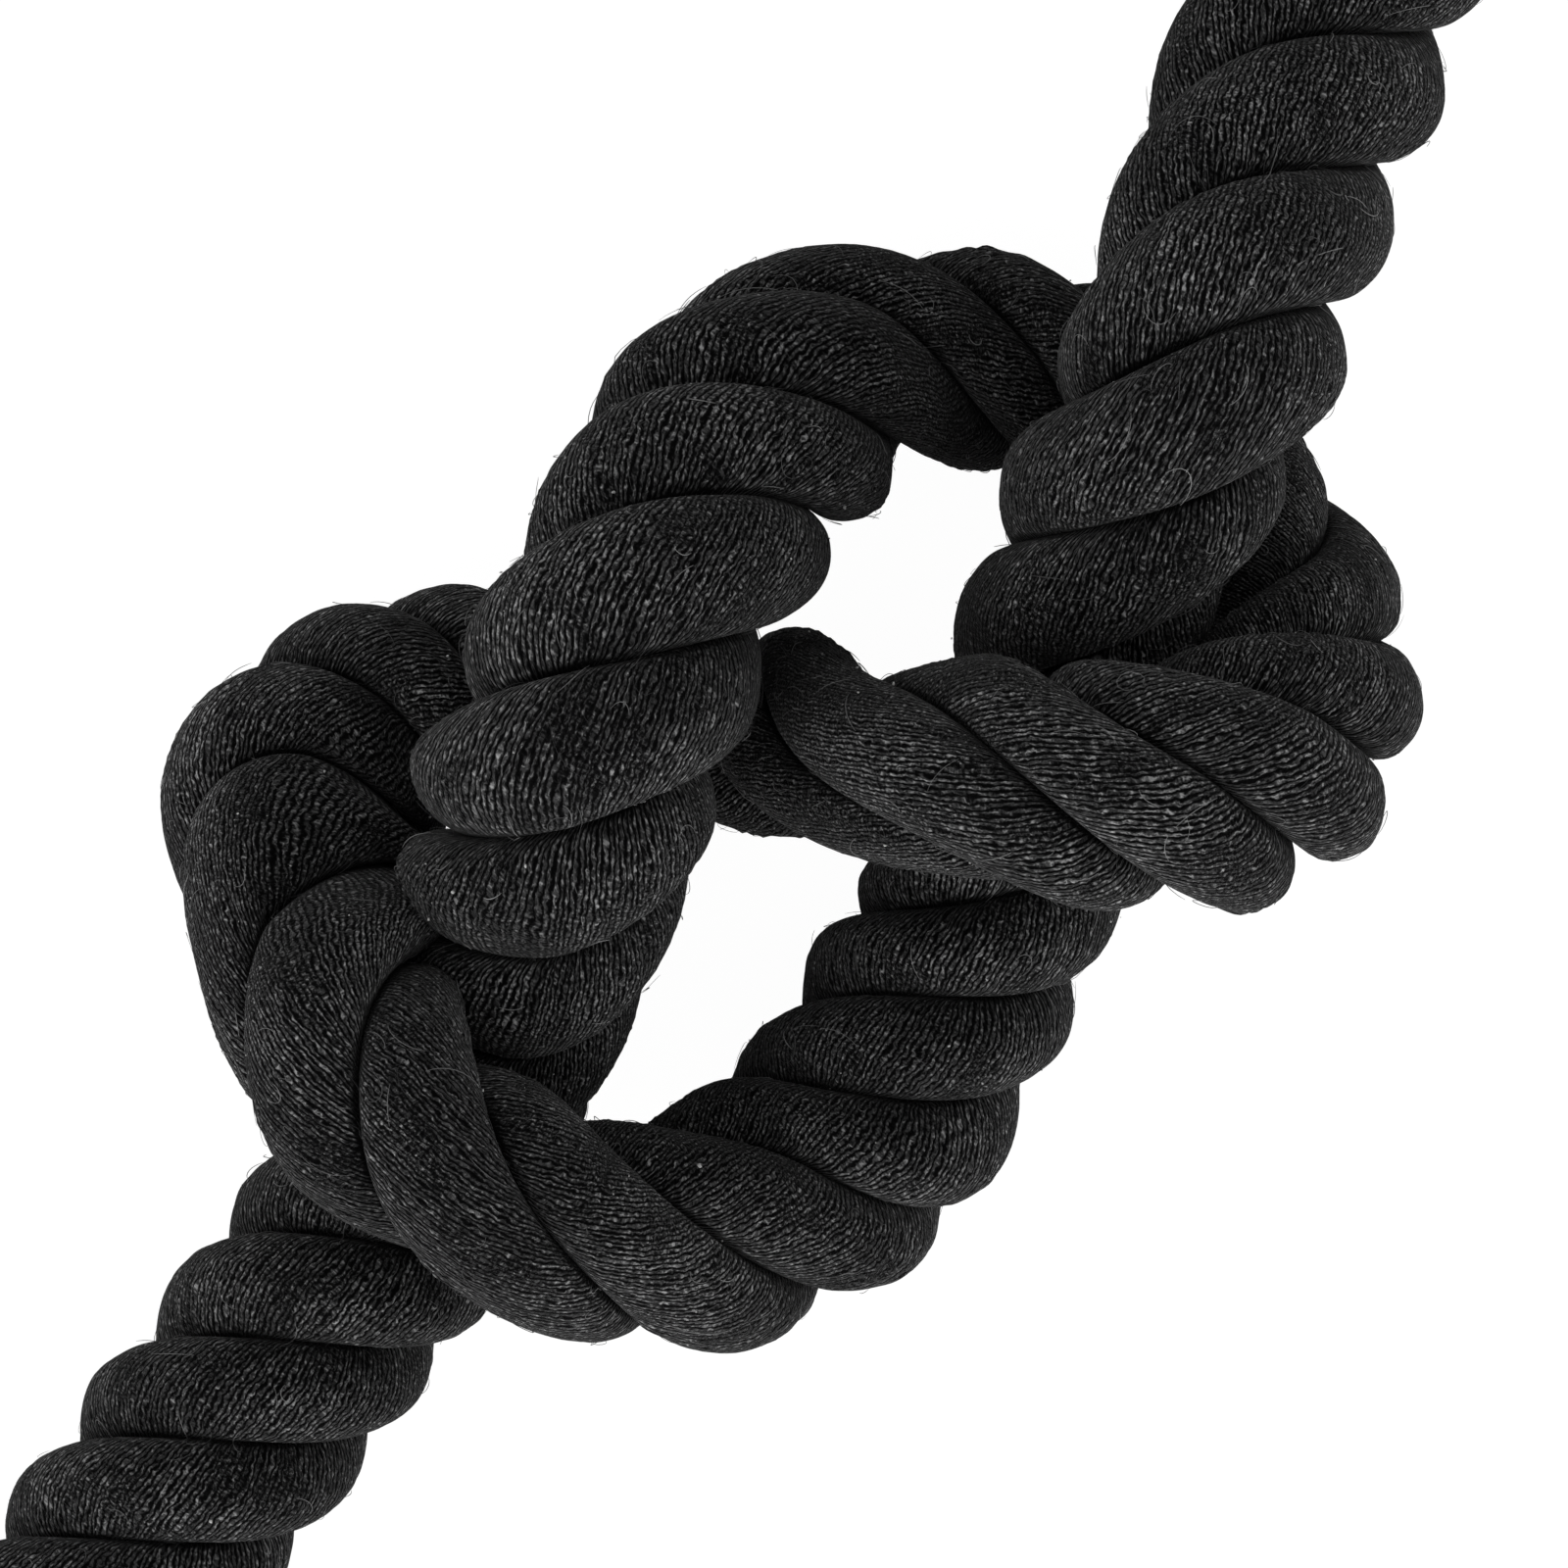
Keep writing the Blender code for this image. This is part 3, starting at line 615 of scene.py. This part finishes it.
# %% Lay the strands, from the standing end to the tail, with fine steps in the knot
KNOT_STEP = 0.00058
HANK_STEP = 0.0022
places = np.linspace(0, knot_start, round(knot_start / HANK_STEP))[:-1]
knot_places = np.linspace(knot_start, run[-1], round((run[-1] - knot_start) / KNOT_STEP))
places = np.concatenate([places, knot_places])
for strand in range(3):
    rings, facts = strand_rings(strand, places)
    mesh = skin(f"strand_{strand + 1}", rings)
    store(mesh, "lay", facts.reshape(-1, 3))
    piece = add_piece(mesh.name, mesh, cotton)
    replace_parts(piece, f"rope_strand_{strand + 1}", "hank")

# %% [markdown]
# ## Fluff
#
# Spun cotton is never clean. Short fibres work loose from the yarns and lie over them, and pale lint sticks to dark
# rope. A particle system could scatter hairs, but its hairs aren't a mesh and are lost in an exported model. Here
# some two thousand thin tubes are bent over the strands by the same "along and around" rule that made the strands.

# %% A point on the rope, from its place along, its angle from the top and its height above the yarns
def on_rope(at, around, lift):
    """Each argument is an array of one shape. Returns points with a last axis of x, y and z."""
    line = line_at(at.ravel())
    around, lift = around.ravel(), lift.ravel()
    crests = np.stack([crest_angle(strand, line["grooves"]) for strand in range(3)])
    from_crest = (around - crests + math.pi) % (2 * math.pi) - math.pi
    angle = from_crest[np.abs(from_crest).argmin(axis=0), np.arange(len(around))]
    far = line["radius"] * reach(angle) + lift
    aside, above = far * np.sin(around), far * np.cos(around)
    return squeezed_place(line, aside[:, None], above[:, None]).reshape(*at.shape, 3)


def fill_mesh(name, vertices, faces):
    mesh = bpy.data.meshes.new(name)
    mesh.from_pydata(vertices, [], faces)
    mesh.shade_smooth()
    return mesh


def tube_faces(tubes, rings, sides):
    """The side faces of many open tubes, whose points are stored tube by tube and ring by ring."""
    faces = []
    for ring in (tube * rings + step for tube in range(tubes) for step in range(rings - 1)):
        start = ring * sides
        turns = [(i, (i + 1) % sides) for i in range(sides)]
        faces += [(start + i, start + j, start + sides + j, start + sides + i) for i, j in turns]
    return faces


FLUFF_FROM = knot_start - 0.12
FLUFF_TO = run[-1] - 0.045
print(f"fluff lies from {FLUFF_FROM:.2f} m to {FLUFF_TO:.2f} m along the rope")

# %% Where the loose fibres run: along and around the rope, arched over the yarns
FIBRES = 2400
BENDS = 9
SHORTEST = 0.0012
LOOSE_SHARE = 0.25
LIFT = 0.00008
share = np.linspace(0, 1, BENDS)[None, :]
middle = dice.uniform(FLUFF_FROM, FLUFF_TO, FIBRES)[:, None]
around = dice.uniform(-math.pi, math.pi, FIBRES)[:, None]
length = dice.gamma(3.0, 0.0013, FIBRES)[:, None] + SHORTEST
heading = dice.uniform(0, math.pi, FIBRES)[:, None]
curl = dice.normal(0, 1.1, FIBRES)[:, None]
turned = heading + curl * (share - 0.5) * 2
ahead = np.cumsum(np.cos(turned), axis=1) * length / BENDS
sideways = np.cumsum(np.sin(turned), axis=1) * length / BENDS
arch = dice.uniform(0.00005, 0.00045, FIBRES)[:, None]
stands_up = dice.random((FIBRES, 1)) < LOOSE_SHARE
loose_end = np.where(stands_up, dice.uniform(0.0002, 0.0009, (FIBRES, 1)), 0) * share**2
lift = LIFT + arch * np.sin(math.pi * share) + loose_end
spine = on_rope(middle + ahead, around + sideways / ROPE_RADIUS, lift)
print(f"{FIBRES} fibres, {1000 * length.mean():.1f} mm long on average, {stands_up.sum()} with an end in the air")

# %% Each one as a three-sided tube that tapers to nothing
FIBRE_RADIUS = 0.000055
FIBRE_SIDES = 3
taper = FIBRE_RADIUS * np.sin(math.pi * (0.06 + 0.88 * share)) ** 0.5 * dice.uniform(0.6, 1.3, (FIBRES, 1))
tangent = unit(np.gradient(spine, axis=1))
across_it = unit(np.cross(tangent, (0.3, 0.2, 0.93)))
off_it = np.cross(tangent, across_it)
corners = [
    spine + (across_it * math.cos(turn) + off_it * math.sin(turn)) * taper[..., None]
    for turn in (0, 2 * math.pi / FIBRE_SIDES, 4 * math.pi / FIBRE_SIDES)
]
tubes = np.stack(corners, axis=2).reshape(-1, 3)
faces = tube_faces(FIBRES, BENDS, FIBRE_SIDES)
fluff_mesh = fill_mesh("loose_fibres", tubes.tolist(), faces)
store(fluff_mesh, "pale", np.repeat(dice.random(FIBRES) ** 2, BENDS * FIBRE_SIDES))
print(f"they have {len(faces)} faces")

# %% Specks of lint, each a small crumpled ball
LINT = 520
ball = bmesh.new()
bmesh.ops.create_icosphere(ball, subdivisions=1, radius=1)
ball_points = np.array([v.co for v in ball.verts])
ball_faces = np.array([[v.index for v in f.verts] for f in ball.faces])
ball.free()
at = dice.uniform(FLUFF_FROM, FLUFF_TO, LINT)
around = dice.uniform(-math.pi, math.pi, LINT)
centre = on_rope(at, around, np.full(LINT, 0.00012))
radius = 0.00007 + dice.gamma(1.6, 0.00005, LINT)
crumple = dice.uniform(0.55, 1.25, (LINT, 1, 3)) * (1 + 0.25 * dice.normal(size=(LINT, len(ball_points), 1)))
specks = centre[:, None] + ball_points * crumple * radius[:, None, None]
faces = (ball_faces[None] + np.arange(LINT)[:, None, None] * len(ball_points)).reshape(-1, 3)
lint_mesh = fill_mesh("lint", specks.reshape(-1, 3).tolist(), faces.tolist())
store(lint_mesh, "pale", np.repeat(dice.random(LINT), len(ball_points)))
print(f"{LINT} specks of lint, the widest {2000 * radius.max():.1f} mm")


# %% Their finishes: grey cotton for the fibres, nearly white for the lint
def pale_material(name, dark, light):
    """Cotton whose grey is between two, by the number called pale that its mesh carries."""
    material, tree, shader = new_material(name, 0.95, Specular_IOR_Level=0.1)
    colour_by(tree, shader, stored(tree, "pale")["Fac"], [(0.0, dark), (1.0, light)])
    return material


fibre_finish = pale_material("loose_cotton", (0.030, 0.030, 0.031), (0.30, 0.30, 0.30))
lint_finish = pale_material("white_lint", (0.16, 0.16, 0.16), (0.75, 0.75, 0.74))
loose_fibres = add_piece("loose_fibres", fluff_mesh, fibre_finish)
lint = add_piece("lint", lint_mesh, lint_finish)
print("the fluff is on the rope")

# %% [markdown]
# ## The end caps
#
# Cut laid rope unlays at once, so each end wears a moulded rubber cap, glued on: a cup with a rounded bottom, a bead
# round its mouth and three grip rings. It is a turned shape, so its half profile is spun round the rope's own
# direction at the end. Bevels on the profile itself are lighter than a modifier and never go wrong.

# %% Half of a cap's outline, cut down its middle
CAP_LENGTH = 0.040
CAP_WALL = 0.0015
CAP_FIT = 0.0003
BOTTOM_ROUND = 0.004
DIMPLE = 0.0006
RING_PLACES = (0.030, 0.026, 0.022)
RING_DEPTH = 0.0005
BEAD_HEIGHT = 0.0004


def cap_profile(rope_radius):
    """(distance from the axis, distance along it) from the middle of the closed end to inside the mouth."""
    inside = rope_radius + CAP_FIT
    outside = inside + CAP_WALL
    dimple = CAP_LENGTH - DIMPLE
    profile = [(0.0, dimple), (outside * 0.42, dimple), (outside * 0.47, CAP_LENGTH - 0.0001)]
    for turn in np.linspace(0, math.pi / 2, 9):
        back = BOTTOM_ROUND * (1 - math.cos(turn))
        profile.append((outside - BOTTOM_ROUND * (1 - math.sin(turn)), CAP_LENGTH - back))
    for ring in RING_PLACES:
        low = outside - RING_DEPTH
        profile += [(outside, ring), (low, ring - 0.0005), (low, ring - 0.0013), (outside, ring - 0.0018)]
    for turn in np.linspace(0, math.pi, 7):
        profile.append((outside + BEAD_HEIGHT * math.sin(turn), 0.0028 - 0.0014 * (1 - math.cos(turn))))
    return profile + [(outside - 0.0002, 0.0), (inside + 0.0002, 0.0), (inside, 0.0004), (inside, 0.012)]


print(f"a cap's outline has {len(cap_profile(ROPE_RADIUS))} corners")

# %% Turn the cap from it
CAP_TURNS = 72
SHARP_EDGE = math.radians(42)


def turned_cap(name, end_place, outward, rope_radius):
    """The profile spun round the rope's direction, so that the cap's bottom just clears the rope's cut end."""
    profile = np.array(cap_profile(rope_radius))
    turns = np.linspace(0, 2 * math.pi, CAP_TURNS, endpoint=False)
    one = unit(np.cross(outward, (0, 0, 1)))
    two = np.cross(outward, one)
    foot = end_place - outward * (CAP_LENGTH - CAP_WALL - CAP_FIT)
    circle = one * np.cos(turns)[:, None] + two * np.sin(turns)[:, None]
    rings = foot + circle[None] * profile[:, 0][:, None, None] + outward * profile[:, 1][:, None, None]
    mesh = skin(name, rings)
    weld = bmesh.new()
    weld.from_mesh(mesh)
    bmesh.ops.remove_doubles(weld, verts=weld.verts, dist=1e-6)
    lids = [face for face in weld.faces if len(face.verts) > 4]
    bmesh.ops.delete(weld, geom=lids, context="FACES_ONLY")
    bmesh.ops.recalc_face_normals(weld, faces=weld.faces)
    weld.to_mesh(mesh)
    weld.free()
    mesh.set_sharp_from_angle(angle=SHARP_EDGE)
    return mesh


print(f"a cap is turned in {CAP_TURNS} steps")

# %% [markdown]
# The caps are satin black rubber. A fresh moulding would be one flat colour, but a gym's floor scuffs it, so a broad
# noise makes it greyer and rougher in places, and a fine one gives it a faint pebbled skin.

# %% The caps' rubber, and a cap on each end
rubber, tree, shader = new_material("black_rubber", 0.5, Specular_IOR_Level=0.3)
place = tree.nodes.new("ShaderNodeTexCoord").outputs["Object"]
pebbles = noise(tree, place, 2600.0, 2.0)
scuffs = noise(tree, place, 190.0, 4.0, 0.6)
tree.links.new(maths(tree, "MULTIPLY_ADD", scuffs, 0.35, 0.33), shader.inputs["Roughness"])
RUBBER_GREYS = [(0.35, (0.006, 0.006, 0.0065)), (0.62, (0.012, 0.012, 0.0125)), (0.80, (0.030, 0.030, 0.031))]
colour_by(tree, shader, scuffs, RUBBER_GREYS)
add_bump(tree, shader, maths(tree, "MULTIPLY_ADD", scuffs, 0.6, pebbles), 0.00012)
ENDS = [("tail_cap", "tail_end_cap", run[-1], 1), ("standing_cap", "standing_end_cap", 0.0, -1)]
for name, node, place_along, sign in ENDS:
    line = line_at(np.array([place_along]))
    mesh = turned_cap(name, line["centre"][0], sign * line["ahead"][0], line["radius"][0])
    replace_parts(add_piece(name, mesh, rubber), node)
    print(f"{name}: {len(mesh.polygons)} faces, in the place of {node}")

# %% [markdown]
# ## The strap
#
# The hank is held by a strip of black webbing, wrapped once round its three runs, lapped over its own start and sewn
# there with a box of grey thread. A torus or a ring of boxes would miss the lap, which is what makes it read as a
# strap. So one flat ribbon is swept round the outline of three circles, and lifted by its own thickness where it
# passes over its start.

# %% The line round the three runs, with its outward direction at each place
STRAP_MIDDLE = 0.1473
STRAP_WIDTH = 0.025
STRAP_THICKNESS = 0.002
RUNS = np.array([(0.0195, 0.0213), (0.0, 0.0562), (-0.0195, 0.0213)])
ARC_POINTS = 25
STRAIGHT_POINTS = 9
FIRST_POINT = 27  # on the straight stretch after the first run, where the lap lies flat
band_radius = ROPE_RADIUS + CAP_FIT + STRAP_THICKNESS / 2
outline, outward = [], []
for before, run_centre, after in zip(np.roll(RUNS, 1, axis=0), RUNS, np.roll(RUNS, -1, axis=0)):
    first, second = run_centre - before, after - run_centre
    start_turn = math.atan2(first[1], first[0]) - math.pi / 2
    turn_by = (math.atan2(second[1], second[0]) - math.pi / 2 - start_turn) % (2 * math.pi)
    for turn in start_turn + turn_by * np.linspace(0, 1, ARC_POINTS):
        outward.append((math.cos(turn), math.sin(turn)))
        outline.append(run_centre + band_radius * np.array(outward[-1]))
    for part in np.linspace(0.1, 0.9, STRAIGHT_POINTS):
        outward.append(outward[-1])
        outline.append(run_centre + second * part + band_radius * np.array(outward[-1]))
outline, outward = (np.roll(np.array(points), -FIRST_POINT, axis=0) for points in (outline, outward))
outline, outward = np.vstack([outline, outline[:1]]), np.vstack([outward, outward[:1]])
round_it = np.concatenate([[0], np.linalg.norm(np.diff(outline, axis=0), axis=1).cumsum()])
print(f"the strap is {1000 * round_it[-1]:.0f} mm round")

# %% The ribbon's path: once round, then up by its own thickness and over its own start
LAP = 0.030
RISE = 0.010
STRAP_STEP = 0.0012
strap_at = np.arange(0, round_it[-1] + LAP, STRAP_STEP)
rise = np.clip((strap_at - (round_it[-1] - RISE)) / RISE, 0, 1)
rise = rise * rise * (3 - 2 * rise) * STRAP_THICKNESS * 1.03


def around_strap(at, values):
    """The outline or its outward directions, read at places round the strap."""
    return np.stack([np.interp(at, round_it, values[:, i]) for i in range(2)], axis=-1)


wrapped = strap_at % round_it[-1]
flat_out = around_strap(wrapped, outward)
centre_line = around_strap(wrapped, outline) + flat_out * rise[:, None]
print(f"its end lies {1000 * rise[-1]:.1f} mm above its start")

# %% Sweep the ribbon's section along the path
WANDER = 0.0006
half_wide, half_thick = STRAP_WIDTH / 2, STRAP_THICKNESS / 2
round_edge = np.linspace(0, math.pi, 9)
edge = [(half_wide - half_thick * (1 - math.sin(t)), half_thick * math.cos(t)) for t in round_edge]
flat_side = [(x, half_thick) for x in np.linspace(-0.86, 0.86, 9) * half_wide]
section = np.array(flat_side + edge + [(-x, -z) for x, z in flat_side] + [(-x, -z) for x, z in edge])
across = np.broadcast_to(section[None, :, 0], (len(strap_at), len(section)))
above = np.broadcast_to(section[None, :, 1], across.shape)
rings = np.stack([
    centre_line[:, 0][:, None] + flat_out[:, 0][:, None] * above,
    STRAP_MIDDLE + WANDER * np.sin(strap_at * 37)[:, None] - across,
    centre_line[:, 1][:, None] + flat_out[:, 1][:, None] * above,
], axis=-1)
strap_mesh = skin("hank_strap_webbing", rings)
rib_drift = 1 + 0.03 * np.sin(strap_at * 420)[:, None]
round_mm = np.broadcast_to(1000 * strap_at[:, None], across.shape)
facts = np.stack([round_mm, 1000 * across * rib_drift, np.zeros(across.shape)], axis=-1)
store(strap_mesh, "lay", facts.reshape(-1, 3))
print(f"the strap has {len(strap_mesh.polygons)} faces")

# %% [markdown]
# Heavy webbing has ribs along it, crossed by weft threads that step from rib to rib. Both are made from a saw of
# ridges, as the rope's yarns were: the ribs by the distance across the strap, the weft by the distance round it,
# shifted from one rib to the next. A flat black with noise on it would look like rubber.

# %% Webbing: ribs along the strap, crossed by the weft in a broken twill
RIB_MM = 1.25
WEFT_MM = 1.1
webbing, tree, shader = new_material("black_webbing", 0.8, Sheen_Weight=0.08, Specular_IOR_Level=0.25)
round_mm, across_mm, _ = apart(tree, stored(tree, "lay")["Vector"])
rib_count = maths(tree, "MULTIPLY", across_mm, 1 / RIB_MM)
rib = maths(tree, "MULTIPLY", maths(tree, "PINGPONG", rib_count, 0.5), 2.0)
slant = maths(tree, "MULTIPLY", maths(tree, "PINGPONG", maths(tree, "MULTIPLY", rib_count, 0.5), 0.5), 1.6)
weft = maths(tree, "ADD", maths(tree, "MULTIPLY", round_mm, 1 / WEFT_MM), slant)
weft = maths(tree, "MULTIPLY", maths(tree, "PINGPONG", weft, 0.5), 2.0)
weft = maths(tree, "MULTIPLY_ADD", maths(tree, "POWER", weft, 0.6), 0.7, 0.3)
woven = maths(tree, "MULTIPLY", maths(tree, "POWER", rib, 0.5), weft)
fuzz_place = vector(tree, maths(tree, "MULTIPLY", round_mm, 1.5), maths(tree, "MULTIPLY", across_mm, 5.0))
fuzz = noise(tree, fuzz_place, 1.0, 3.0)
add_bump(tree, shader, maths(tree, "MULTIPLY_ADD", fuzz, 0.25, woven), 0.00028)
shade = maths(tree, "MULTIPLY", woven, maths(tree, "MULTIPLY_ADD", fuzz, 0.9, 0.45))
STRAP_GREYS = [(0.05, (0.0015, 0.0015, 0.0016)), (0.45, (0.012, 0.012, 0.013)), (1.0, (0.045, 0.045, 0.048))]
colour_by(tree, shader, shade, STRAP_GREYS)
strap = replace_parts(add_piece("hank_strap_webbing", strap_mesh, webbing), "hank_strap")
print(f"the webbing has {STRAP_WIDTH * 1000 / RIB_MM:.0f} ribs")

# %% [markdown]
# The lap is sewn with a box and a cross, as load straps are. Each stitch is a short bowed tube of thread whose ends
# dive into the webbing. A painted line of dashes would be simpler, but it would lie flat in a close view.

# %% Where the stitches lie on the lap
STITCH = 0.0026
STITCH_BENDS = 7
SEWN_HALF = 0.009
lap_start, lap_end = 0.005, LAP - 0.003
box = [(lap_start, -SEWN_HALF), (lap_end, -SEWN_HALF), (lap_end, SEWN_HALF), (lap_start, SEWN_HALF)]
box.append(box[0])
seams = list(zip(box, box[1:])) + [(box[0], box[2]), (box[1], box[3])]
stitches = []
for (s0, a0), (s1, a1) in seams:
    count = round(math.hypot(s1 - s0, a1 - a0) / STITCH)
    for i in range(count):
        bends = np.linspace((i + 0.12) / count, (i + 0.88) / count, STITCH_BENDS)
        stitches.append([(s0 + (s1 - s0) * t, a0 + (a1 - a0) * t) for t in bends])
stitches = np.array(stitches)
print(f"{len(stitches)} stitches hold the lap")

# %% Thread for each stitch
THREAD_RADIUS = 0.00038
THREAD_SIDES = 8
bow = np.sin(math.pi * np.linspace(0, 1, STITCH_BENDS))
place = around_strap(stitches[..., 0], outline)
out = around_strap(stitches[..., 0], outward)
height = 1.53 * STRAP_THICKNESS - THREAD_RADIUS * 0.6 + THREAD_RADIUS * 1.1 * bow
spine = np.stack([
    place[..., 0] + out[..., 0] * height,
    STRAP_MIDDLE - stitches[..., 1],
    place[..., 1] + out[..., 1] * height,
], axis=-1)
tangent = unit(np.gradient(spine, axis=1))
across_it = np.cross(tangent, np.stack([out[..., 0], out[..., 0] * 0, out[..., 1]], axis=-1))
up_it = np.cross(across_it, tangent)
turns = np.linspace(0, 2 * math.pi, THREAD_SIDES, endpoint=False)[:, None]
circle = across_it[:, :, None] * np.cos(turns) + up_it[:, :, None] * np.sin(turns)
thick = THREAD_RADIUS * np.maximum(bow, 0.25) ** 0.4
tubes = spine[:, :, None] + thick[None, :, None, None] * circle
faces = tube_faces(len(tubes), STITCH_BENDS, THREAD_SIDES)
sewing_mesh = fill_mesh("strap_stitches", tubes.reshape(-1, 3).tolist(), faces)
print(f"the thread is {2000 * THREAD_RADIUS:.1f} mm thick")

# %% The thread's finish
THREAD_GREYS = [(0.3, (0.03, 0.03, 0.032)), (0.7, (0.10, 0.10, 0.105))]
thread, tree, shader = new_material("grey_thread", 0.6, Sheen_Weight=0.1, Specular_IOR_Level=0.3)
plies = noise(tree, tree.nodes.new("ShaderNodeTexCoord").outputs["Object"], 2200.0, 1.0)
colour_by(tree, shader, plies, THREAD_GREYS)
add_bump(tree, shader, plies, 0.00008)
sewing = add_piece("strap_stitches", sewing_mesh, thread)
print(f"the stitches have {len(sewing_mesh.polygons)} faces")

# %% [markdown]
# ## The rope's line from end to end
#
# A rope isn't a rigid thing: its line says how long and how thick it is from end to end, and how it lies. That line
# is read here at 600 places from one end to the other.

line = line_at(np.linspace(0, run[-1], 600))

# %% [markdown]
# ## The floor
#
# The photograph was taken on a white sweep. The floor is one large matt sheet. To read as white without more light
# on the rope, it glows a little for the camera, and the share that stays matt keeps the rope's soft shadow. The
# light path node limits the glow to what the camera sees, directly, in a reflection or through something clear.

# %% The white floor
FLOOR_HALF = 4
PAPER_WHITE = (0.88, 0.88, 0.88, 1)
GLOW = 1.14
GLOWING_SHARE = 0.85
floor_mesh = bpy.data.meshes.new("floor")
corners = [(x * FLOOR_HALF, y * FLOOR_HALF, 0) for x, y in ((-1, -1), (1, -1), (1, 1), (-1, 1))]
floor_mesh.from_pydata(corners, [], [(0, 1, 2, 3)])
floor = put_in_scene("floor", floor_mesh)
paper = bpy.data.materials.new("white_paper")
paper.use_nodes = True
tree = paper.node_tree
tree.nodes.clear()
output = tree.nodes.new("ShaderNodeOutputMaterial")
matt = tree.nodes.new("ShaderNodeBsdfDiffuse")
matt.inputs["Color"].default_value = PAPER_WHITE
glow = tree.nodes.new("ShaderNodeEmission")
glow.inputs["Strength"].default_value = GLOW
mix = tree.nodes.new("ShaderNodeMixShader")
rays = tree.nodes.new("ShaderNodeLightPath").outputs
seen = maths(tree, "MAXIMUM", rays["Is Camera Ray"], rays["Is Glossy Ray"])
seen = maths(tree, "MAXIMUM", seen, rays["Is Transmission Ray"])
feed(tree, mix.inputs, (maths(tree, "MULTIPLY", seen, GLOWING_SHARE), matt.outputs[0], glow.outputs[0]))
tree.links.new(mix.outputs[0], output.inputs[0])
floor_mesh.materials.append(paper)
print(f"the floor is {2 * FLOOR_HALF} m square")

# %% [markdown]
# ## The light
#
# The picture has no hard shadow and no highlight: the light comes from large white sheets all round. Area lights
# would need careful placing, and each one leaves an edge. A world whose strength fades from the horizon to the
# zenith gives the same wrap with nothing in the way. It is a little stronger from the picture's bottom and left,
# because the strands are brighter there.

# %% Soft light from all round, stronger from the sides than from above
AT_HORIZON = 1.72
TO_ZENITH = -1.44
TO_RIGHT = -0.15
TO_TOP = -0.60
world = bpy.data.worlds.new("studio")
bpy.context.scene.world = world
world.use_nodes = True
tree = world.node_tree
background = tree.nodes["Background"]
right, top, upward = apart(tree, tree.nodes.new("ShaderNodeTexCoord").outputs["Generated"])
above_horizon = maths(tree, "MAXIMUM", upward, 0.0)
dome = summed(tree, AT_HORIZON, (above_horizon, TO_ZENITH), (right, TO_RIGHT), (top, TO_TOP))
rays = tree.nodes.new("ShaderNodeLightPath").outputs
seen = maths(tree, "MAXIMUM", rays["Is Camera Ray"], rays["Is Transmission Ray"])
strength = maths(tree, "ADD", maths(tree, "MULTIPLY", dome, maths(tree, "SUBTRACT", 1.0, seen)), seen)
tree.links.new(strength, background.inputs["Strength"])
background.inputs["Color"].default_value = (1, 1, 1, 1)
bpy.context.scene.view_settings.view_transform = "Standard"
print(f"the light fades from {AT_HORIZON} at the horizon to {AT_HORIZON + TO_ZENITH:.2f} overhead")
